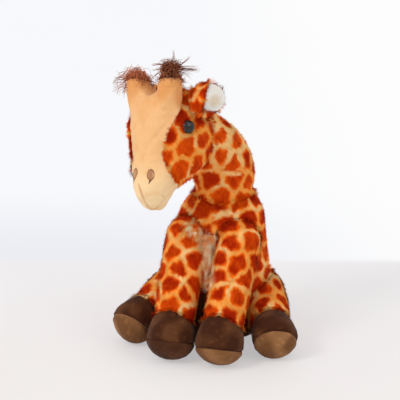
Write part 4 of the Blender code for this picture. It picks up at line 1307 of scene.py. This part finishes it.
def make_hoof(kind, side, shift, sole_tones, thread, seed):
    """One stuffed form, parted at the seam into its upper and its sole, with stitches between them.

    The photograph shows the seam farther up than the solids do, by the shift.
    """
    hoof, sole = f"{kind}_hoof_{side}", f"{kind}_sole_{side}"
    whole = skin(kind + "_foot_" + side, [hoof, sole], HOOF_VOXEL, 7, grow=HOOF_GROW)
    raise_dome(whole, hoof, f"{kind}_leg_{side}")
    smooth_skin(whole, 6)
    stuff(whole, [hoof, sole])
    subdivide(whole)
    middle, flat = seam_plane(hoof, sole)
    middle = middle - flat * shift
    points = coordinates(whole.data)
    off = (points - middle) @ flat
    depth = SEAM_GROOVE * np.exp(-((off / GROOVE_WIDTH) ** 2)) * (points[:, 2] > GROOVE_LOW)
    beside = (np.abs(off) - SWELL_OFF) / SWELL_WIDTH
    swell = SEAM_SWELL * np.exp(-(beside**2)) * (points[:, 2] > SWELL_LOW)
    push_out(whole, swell - depth - HOOF_INSET, REST_GAP)
    lower, ring = parted(sole + "_skin", whole.data, middle, flat, PARTING)
    upper, _ = parted(hoof + "_skin", whole.data, middle, -flat, PARTING)
    bpy.data.objects.remove(whole)
    finish_velour(upper, hoof, HOOF_DARK, HOOF_LIGHT, "dark_velour", seed)
    finish_velour(lower, sole, *sole_tones, "sole_velour", seed + 5)
    make_stitches(f"{kind}_stitches_{side}", ring, middle, flat, BODY_OF[hoof], thread)


# Three soles carry the painted sheen of the nap; the front right one has tones near the uppers', without it
SHEEN_SOLE_TONES = (SHEEN_SOLE_DARK, SHEEN_SOLE_LIGHT)
PLAIN_SOLE_TONES = ((0.27, 0.15, 0.085), (0.40, 0.25, 0.16))
make_hoof("front", "left", 5.5 * MM, SHEEN_SOLE_TONES, THREAD_DARK, 210)
make_hoof("front", "right", 8 * MM, PLAIN_SOLE_TONES, THREAD_DARK, 190)
make_hoof("hind", "left", 0.0, SHEEN_SOLE_TONES, THREAD_DARK, 310)
make_hoof("hind", "right", 0.0, SHEEN_SOLE_TONES, THREAD_LIGHT, 290)
seat_skin = skin("seat_panel_skin", ["seat_panel"], SEAT_VOXEL, 5)
finish_velour(seat_skin, "seat_panel", HOOF_DARK, HOOF_LIGHT, "dark_velour", 400)
CHEST_LINE = picked_line(CHEST_PIXELS, tuple(sorted(NODES)))
COMB_LINE = picked_line(COMB_PIXELS, ("neck",))
make_coats()


# Ear linings


LINING_GROW = 0.2 * MM
# Where the painted shade of the ear's hollow lies, and the distances over which it fades to white
HOLLOW_PIXEL = (214, 101)
HOLLOW_INNER = 2 * MM
HOLLOW_OUTER = 8.5 * MM
FUZZ_LENGTH = 1.6 * MM
FUZZ_ROOM = 1.2 * MM
FUZZ_REACH = 2.5 * MM
FUZZ_DENSITY = 2.2 / MM**2
FUZZ_WIDTH = 0.5 * MM


def shaded_lining_colours(points, hollow):
    """White at the rim, with painted shade in the hollow."""
    spread = np.linalg.norm(points - hollow, axis=1)
    return mix(LINING_HOLLOW_SHADE, LINING_WHITE, ease(spread, HOLLOW_INNER, HOLLOW_OUTER))


def make_lining(side):
    node = "ear_lining_" + side
    item = skin(node + "_skin", [node], FINE_VOXEL, 5, grow=LINING_GROW)
    subdivide(item)
    points = coordinates(item.data)
    middle = points.mean(0)
    hollow = seen_at(*HOLLOW_PIXEL)[0] if side == "left" else middle
    paint(item.data, shaded_lining_colours(points, hollow))
    place(item, "ear_" + side, "white_lining", LINING, node)
    places, normals = sampled(item.data, FUZZ_DENSITY, 500)
    neighbours = others_than([node])
    clear = free_length(places, normals, np.full(len(places), FUZZ_LENGTH), neighbours)
    near, away, facing = way_off(places, neighbours, FUZZ_REACH)
    keep = (clear > FUZZ_ROOM) & ((normals * away).sum(1) > BURIED)
    places, normals, near, away, facing = kept(keep, places, normals, near, away, facing)
    closeness = (1 - near / FUZZ_REACH)[:, None]
    draw = np.random.default_rng(501)
    outward = unit(places - middle)
    directions = normals * 0.45 + outward * 0.5 + UP * 0.3 + draw.normal(size=places.shape) * 0.25
    directions = unit(directions + facing * closeness * 0.5 - away * closeness * 0.3)
    lengths = (1.8 + 1.2 * closeness[:, 0]) * MM * draw.uniform(0.7, 1.2, len(places))
    fuzz = short_strands(node + "_fuzz", places, normals, directions, lengths,
                         np.full(len(places), FUZZ_WIDTH), shaded_lining_colours(places, hollow), soften=1.0)
    place(fuzz, "ear_" + side, "white_lining", PILE)


for side_name in SIDES:
    make_lining(side_name)


# Long hair: horn tufts, manes, tail and chest


# Points along a curl, how deep the roots lie under a horn's top, and the short hairs round its end
HAIR_STEPS = 11
ROOT_DEEP = 1.5 * MM
ROOT_SLOPE = 2.5 * MM
SKIRT_HAIRS = 300
SKIRT_DEEP = 6 * MM
SKIRT_DROP = 9 * MM
SKIRT_LIFT = 2 * MM


def hair_colours(count, seed):
    draw = np.random.default_rng(seed)
    return mix(HAIR_DARK, HAIR_RED, draw.uniform(0, 1, count) ** 1.3)


def facing_point(x, y, anchor):
    """The point at a pixel on the upright plane through an anchor that faces the camera."""
    ray = pixel_ray(x, y)
    reach = (Vector(anchor) - CAMERA_PLACE).dot(SIGHT) / ray.dot(SIGHT)
    return np.array(CAMERA_PLACE + ray * reach)


def bent_paths(roots, knees, ends, turns, swing, seed):
    """Hairs from root over knee to end, each curled round its own line."""
    draw = np.random.default_rng(seed)
    count = len(roots)
    share = np.linspace(0, 1, HAIR_STEPS)[None, :, None]
    rest = 1 - share
    line = roots[:, None] * rest**2 + 2 * knees[:, None] * share * rest + ends[:, None] * share**2
    ahead = unit(ends - roots)
    side = unit(np.cross(ahead, unit(draw.normal(size=(count, 3)))))
    other = np.cross(ahead, side)
    angle = 2 * pi * turns[:, None, None] * share + draw.uniform(0, 2 * pi, (count, 1, 1))
    swell = np.minimum(share * 2.5, 1) * swing[:, None, None]
    curl = side[:, None] * (np.cos(angle) - np.cos(angle[:, :1]))
    curl = curl + other[:, None] * (np.sin(angle) - np.sin(angle[:, :1]))
    return line + curl * swell


def horn_end(side):
    """The top of a horn, its axis, two ways across it and its radius."""
    horn = "horn_" + side
    middle, axis = node_axis(horn, spin=False)
    axis = turned_to(axis, UP)
    along, _, radii = round_axis(node_points(horn) - middle, axis)
    wide = unit(np.cross(axis, ACROSS))
    return middle + axis * along.max(), axis, wide, np.cross(axis, wide), radii.max()


def horn_roots(draw, horn, number, spread):
    """Random roots over the end of a horn, lower toward its rim."""
    top, axis, wide, other, rim = horn
    angle = draw.uniform(0, 2 * pi, (number, 1))
    out = np.sqrt(draw.uniform(0, 1, (number, 1))) * spread
    level = top - axis * (ROOT_DEEP + out**2 * ROOT_SLOPE)
    return level + (wide * np.cos(angle) + other * np.sin(angle)) * rim * out


def knot(draw, horn, centre, half_width, half_height, number):
    """Curls that fill a blob: their roots, knees, tips, turns, swings and radii."""
    roots = horn_roots(draw, horn, number, 0.85)
    shell = unit(draw.normal(size=(number, 3))) * (draw.uniform(0.2, 1, (number, 1)) ** 0.5)
    across, deep = np.array(SIGHT_RIGHT), np.array(SIGHT)
    aside = across * (shell[:, :1] * half_width) + deep * (shell[:, 1:2] * half_width)
    tips = centre + (aside + UP * (shell[:, 2:] * half_height))
    knees = (roots + tips) / 2 + horn[1] * 5 * MM + draw.normal(size=(number, 3)) * 3 * MM
    turns, swing = draw.uniform(0.8, 2.2, number), draw.uniform(1.2, 3.4, number) * MM
    return roots, knees, tips, turns, swing, draw.uniform(0.2, 0.36, number) * MM


def skirt(draw, horn):
    """Short hairs that hang round the end of a horn, given as the knot is."""
    top, axis, wide, other, _ = horn
    each = (SKIRT_HAIRS, 1)
    angle = draw.uniform(0, 2 * pi, each)
    ring = wide * np.cos(angle) + other * np.sin(angle)
    level = top - axis * (draw.uniform(0, 1, each) ** 1.5 * SKIRT_DEEP)
    roots = np.array([on_face(spot, way, 30) for spot, way in zip(level, ring)]) - ring * 0.4 * MM
    drop = draw.uniform(0.1, 1, each) ** 1.4 * SKIRT_DROP
    tips = roots + ring * draw.uniform(2.5, 6, each) * MM - axis * (drop - SKIRT_LIFT)
    tips = tips + draw.normal(size=(SKIRT_HAIRS, 3)) * 1.5 * MM
    knees = (roots + tips) / 2 + ring * 2 * MM + axis * 1.5 * MM
    turns, swing = draw.uniform(0.2, 1.1, SKIRT_HAIRS), draw.uniform(0.4, 1.4, SKIRT_HAIRS) * MM
    return roots, knees, tips, turns, swing, draw.uniform(0.18, 0.32, SKIRT_HAIRS) * MM


def wisp(draw, horn, centre, pixel, number, spread, sag, curl):
    """Loose hairs whose tips lie round a pixel of the photograph, given as the knot is."""
    top = horn[0]
    roots = centre + (horn_roots(draw, horn, number, 0.7) - top) * 0.6
    tips = facing_point(*pixel, top) + draw.normal(size=(number, 3)) * spread
    knees = (roots + tips) / 2 + UP * sag + draw.normal(size=(number, 3)) * spread * 0.5
    turns = draw.uniform(curl * 0.4, curl * 1.3, number)
    swing = np.minimum(turns, 1) * 2.4 * MM
    return roots, knees, tips, turns, swing, draw.uniform(0.2, 0.34, number) * MM


def make_tuft(side, blob, wisps, seed, tone):
    """A knot of curls on the end of a horn, with bundles of loose hair.

    The blob is its middle in the photograph, half its width and height, and its hairs. A wisp is the
    pixel of its tips, its hairs, how far they spread, how high they arch and how often they turn.
    """
    draw = np.random.default_rng(seed)
    horn = horn_end(side)
    pixel, *sizes = blob
    centre = facing_point(*pixel, horn[0])
    bundles = [knot(draw, horn, centre, *sizes), skirt(draw, horn)]
    bundles += [wisp(draw, horn, centre, *settings) for settings in wisps]
    seeds = (seed + 1, seed + 3, *range(seed + 5, seed + 5 + len(wisps)))
    paths = np.concatenate([bent_paths(*bundle[:5], own) for bundle, own in zip(bundles, seeds)])
    radii = np.concatenate([bundle[5] for bundle in bundles])
    colours = hair_colours(len(paths), seed + 2) * tone
    item = long_strands("horn_curls_" + side, paths, radii, np.clip(colours, 0, 1))
    place(item, "head", "brown_hair", HAIR, "horn_tuft_" + side)


make_tuft("right", ((133, 78), 11 * MM, 7 * MM, 330), (
    ((113, 84), 16, 1.6 * MM, 6 * MM, 1.1), ((116, 92), 14, 2.0 * MM, 3 * MM, 1.2),
    ((122, 94), 10, 1.6 * MM, 1 * MM, 0.8), ((139, 65), 5, 1.0 * MM, 2 * MM, 0.1),
    ((156, 85), 9, 1.4 * MM, 6 * MM, 0.3), ((130, 67), 6, 2 * MM, 1 * MM, 0.4),
    ((150, 80), 8, 1.5 * MM, 5 * MM, 0.4), ((117, 77), 8, 1.8 * MM, 5 * MM, 1.2),
    ((134, 93), 12, 4 * MM, 0, 0.4), ((145, 91), 8, 2 * MM, 0, 0.3), ((126, 92), 10, 2.5 * MM, 0, 0.6),
), 600, 1.25)
make_tuft("left", ((171.5, 66), 9 * MM, 9 * MM, 350), (
    ((153, 65), 10, 1.0 * MM, 3 * MM, 0.1), ((152, 70), 6, 0.8 * MM, 1 * MM, 0.1),
    ((152, 79), 8, 0.9 * MM, 4 * MM, 0.1), ((173, 50), 6, 0.7 * MM, 0, 0.1),
    ((190, 57), 8, 1.2 * MM, -5 * MM, 0.1), ((197, 69), 20, 1.8 * MM, 0, 0.1),
    ((190, 76), 10, 1.6 * MM, 2 * MM, 0.2), ((165, 82), 12, 2.0 * MM, 0, 0.2),
    ((174, 81), 9, 3.0 * MM, 0, 0.3), ((160, 60), 7, 1.8 * MM, 2 * MM, 1.0),
    ((182, 60), 6, 1.5 * MM, 2 * MM, 1.0),
), 610, 1.0)


OPEN_ROOM = 1.5 * MM
LOCK_STEPS = 6


def node_outer(node, neighbours, density, seed):
    """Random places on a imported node's faces that look into the open."""
    places, normals = sampled(NODES[node].data, density, seed)
    out = free_length(places, normals, np.full(len(places), OPEN_ROOM * 2), neighbours)
    keep = out > OPEN_ROOM
    return kept(keep, places, normals)


def make_locks(name, node, slot_name, settings, colours_of, material=HAIR, facing=None):
    """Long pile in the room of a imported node, from its inner part outward.

    The settings are its hairs to an area, their length and width, how far they droop and curl, the way
    they are drawn, how deep they are rooted, and the seed.
    """
    density, length, width, droop, curl_most, bias, sink, seed = settings
    neighbours = others_than([node])
    places, normals = node_outer(node, neighbours, density, seed)
    draw = np.random.default_rng(seed + 1)
    roots = places - normals * sink
    directions = unit(normals * 0.8 + np.array(bias) + draw.normal(size=places.shape) * 0.3)
    lengths = length * draw.uniform(0.6, 1.15, len(places))
    curl = draw.uniform(0.0, curl_most, len(places))
    paths = grow_paths(roots, directions, lengths, LOCK_STEPS, droop, curl, seed + 2)
    paths[:, :, 2] = np.maximum(paths[:, :, 2], width)
    radii = draw.uniform(0.7, 1.2, len(places)) * width
    if facing is not None:
        facing = unit(np.array(facing) + 0.4 * normals)
    item = long_strands(name, paths, radii, colours_of(places, seed), facing)
    place(item, BODY_OF[node], slot_name, material, node)


def chest_colours(places, seed):
    draw = np.random.default_rng(seed)
    share = ease(ripple(places, 9 * MM, seed), -1.2, 0.3) * draw.uniform(0.7, 1, len(places))
    return mix(CHEST_PINK, CHEST_CREAM, share)


def mane_colours(places, seed):
    return hair_colours(len(places), seed)


make_locks("chest_locks", "chest_panel", "cream_pile",
           (2.0 / MM**2, 8 * MM, 0.26 * MM, 0.15, 0.7, (0, -0.4, -0.6), 1.6 * MM, 700), chest_colours,
           PILE, (-0.1, -1.0, 0.5))
make_locks("neck_mane", "mane_neck", "brown_hair",
           (1.0 / MM**2, 7 * MM, 0.26 * MM, 0.05, 0.3, (0, 0.3, 0.3), 5.5 * MM, 710), mane_colours)
make_locks("head_mane", "mane_head", "brown_hair",
           (1.1 / MM**2, 7 * MM, 0.26 * MM, 0.05, 0.3, (0, 0.3, 0.5), 5.5 * MM, 720), mane_colours)
make_locks("tail_hair", "tail_tuft", "brown_hair",
           (0.6 / MM**2, 13 * MM, 0.28 * MM, 0.02, 0.25, (0, 1.6, 0), 6 * MM, 730), mane_colours)

for node_name, material in (
    ("eye_washer_left", WASHER), ("eye_washer_right", WASHER), ("pellet_bag", BAG_CLOTH),
):
    NODES[node_name].data.materials.clear()
    NODES[node_name].data.materials.append(material)


# Stage, light and camera

# The floor's tones lie along and across the camera's sight, from the horizon row of the photograph
FLOOR_REACH = 14.0
FLOOR_COLOUR = (0.955, 0.942, 0.938)
FLOOR_NEAR = (0.925, 0.908, 0.890)
FLOOR_FAR = (0.955, 0.950, 0.968)
HORIZON_BLUR = (-0.008, 0.014)
# The share of glow that the camera sees: on the ground it is painted light over the object's shadow
FLOOR_GLOW_SHARE = 0.5
WALL_GLOW_SHARE = 0.95
WALL_LOW = (0.925, 0.930, 0.955)
WALL_HIGH = (0.975, 0.980, 0.993)
WALL_RIGHT = (0.999, 0.999, 0.999)
FILL_LEVEL = 0.78
KEY_POWER = 9.5
KEY_SIZE = 0.45
KEY_PLACE = Vector((-0.75, -1.15, 1.25))
RIM_POWER = 2.5
RIM_SIZE = 0.8
RIM_PLACE = Vector((1.1, -0.5, 1.0))


def toned(tree, value, low, high, dark, light):
    """A colour that goes from one tone to another as a value goes from low to high."""
    span = add_node(tree, "MapRange", {"From Min": low, "From Max": high, "Value": value},
                    interpolation_type="SMOOTHSTEP")
    first, second = (
        tone if isinstance(tone, bpy.types.NodeSocket) else (*linear(tone), 1) for tone in (dark, light)
    )
    inputs = {"Factor": span["Result"], "A": first, "B": second}
    return add_node(tree, "Mix", inputs, data_type="RGBA")["Result"]


def mixed(tree, share, first, second):
    """A mix of two shaders, which have sockets of one name and are told apart by their order."""
    return add_node(tree, "MixShader", {"Fac": share, 1: first, 2: second})["Shader"]


def floor_material():
    """Pale ground, and past the horizon row of the photograph the tones of the wall. Seen by the camera,
    half of the ground's colour is a glow, painted light that lightens the object's shadow on it; the wall
    glows almost wholly.
    """
    made, tree, shader = new_material("floor")
    base = toned(tree, noise(tree, 3.0), 0.3, 0.7, FLOOR_COLOUR, FLOOR_NEAR)
    feed(tree, shader, {"Base Color": base, "Roughness": 0.6, "Specular IOR Level": 0.2})
    spot = add_node(tree, "TexCoord", {})["Object"]
    split = add_node(tree, "SeparateXYZ", {"Vector": spot})
    across, back = split["X"], split["Y"]
    near = toned(tree, across, -0.15, 0.15, FLOOR_NEAR, FLOOR_COLOUR)
    ground = toned(tree, back, -0.55, -0.02, near, FLOOR_FAR)
    wall = toned(tree, back, 0.0, 0.35, WALL_LOW, WALL_HIGH)
    wall = toned(tree, across, -0.1, 0.35, wall, WALL_RIGHT)
    tone = toned(tree, back, *HORIZON_BLUR, ground, wall)
    shine = toned(tree, back, *HORIZON_BLUR, (0.0, 0.0, 0.0), (1.0, 1.0, 1.0))
    amount = add_node(tree, "MapRange", {"To Min": FLOOR_GLOW_SHARE, "To Max": WALL_GLOW_SHARE, "Value": shine})
    camera_ray = add_node(tree, "LightPath", {})["Is Camera Ray"]
    seen = add_node(tree, "Math", {0: camera_ray, 1: amount["Result"]}, operation="MULTIPLY")["Value"]
    glow = add_node(tree, "Emission", {"Color": tone})["Emission"]
    surface = mixed(tree, seen, shader.outputs["BSDF"], glow)
    feed(tree, tree.nodes["Material Output"], {"Surface": surface})
    return made


def make_floor():
    """A pale floor, squared to the camera, with its middle on the horizon row of the photograph."""
    far_ray = pixel_ray(PHOTO_SIDE / 2, HORIZON_ROW)
    reach = FLOOR_REACH
    corners = [(-reach, -reach, 0), (reach, -reach, 0), (reach, reach, 0), (-reach, reach, 0)]
    mesh = bpy.data.meshes.new("floor")
    mesh.from_pydata(corners, [], [(0, 1, 2, 3)])
    mesh.materials.append(floor_material())
    floor = new_object("floor", mesh)
    floor.location = CAMERA_PLACE + far_ray * (CAMERA_PLACE.z / -far_ray.z)
    floor.rotation_euler = (0, 0, CAMERA_AZIMUTH)


def make_world():
    """Even fill light, and a pale wall colour for what the camera sees."""
    world = bpy.data.worlds.new("studio")
    bpy.context.scene.world = world
    world.use_nodes = True
    tree = world.node_tree
    tree.nodes.clear()
    seen = add_node(tree, "Background", {"Color": (*linear(WALL_HIGH), 1)})["Background"]
    fill = add_node(tree, "Background", {"Color": (1, 1, 1, 1), "Strength": FILL_LEVEL})["Background"]
    path = add_node(tree, "LightPath", {})
    rays = {0: path["Is Camera Ray"], 1: path["Is Transmission Ray"]}
    either = add_node(tree, "Math", rays, operation="ADD", use_clamp=True)["Value"]
    add_node(tree, "OutputWorld", {"Surface": mixed(tree, either, fill, seen)})


def make_light(name, where, power, size):
    data = bpy.data.lights.new(name, "AREA")
    data.energy = power
    data.size = size
    lamp = new_object(name, data)
    lamp.location = where
    lamp.rotation_euler = (CAMERA_TARGET - where).to_track_quat("-Z", "Y").to_euler()


SENSOR_WIDTH = 36


def make_camera():
    data = bpy.data.cameras.new("camera")
    data.sensor_width = SENSOR_WIDTH
    data.lens = data.sensor_width * FOCAL_PIXELS / PHOTO_SIDE
    camera = new_object("camera", data)
    camera.location = CAMERA_PLACE
    camera.rotation_euler = SIGHT.to_track_quat("-Z", "Y").to_euler()
    bpy.context.scene.camera = camera


make_floor()
make_world()
make_light("key", KEY_PLACE, KEY_POWER, KEY_SIZE)
make_light("side", RIM_PLACE, RIM_POWER, RIM_SIZE)
make_camera()
bpy.context.scene.view_settings.view_transform = "Standard"
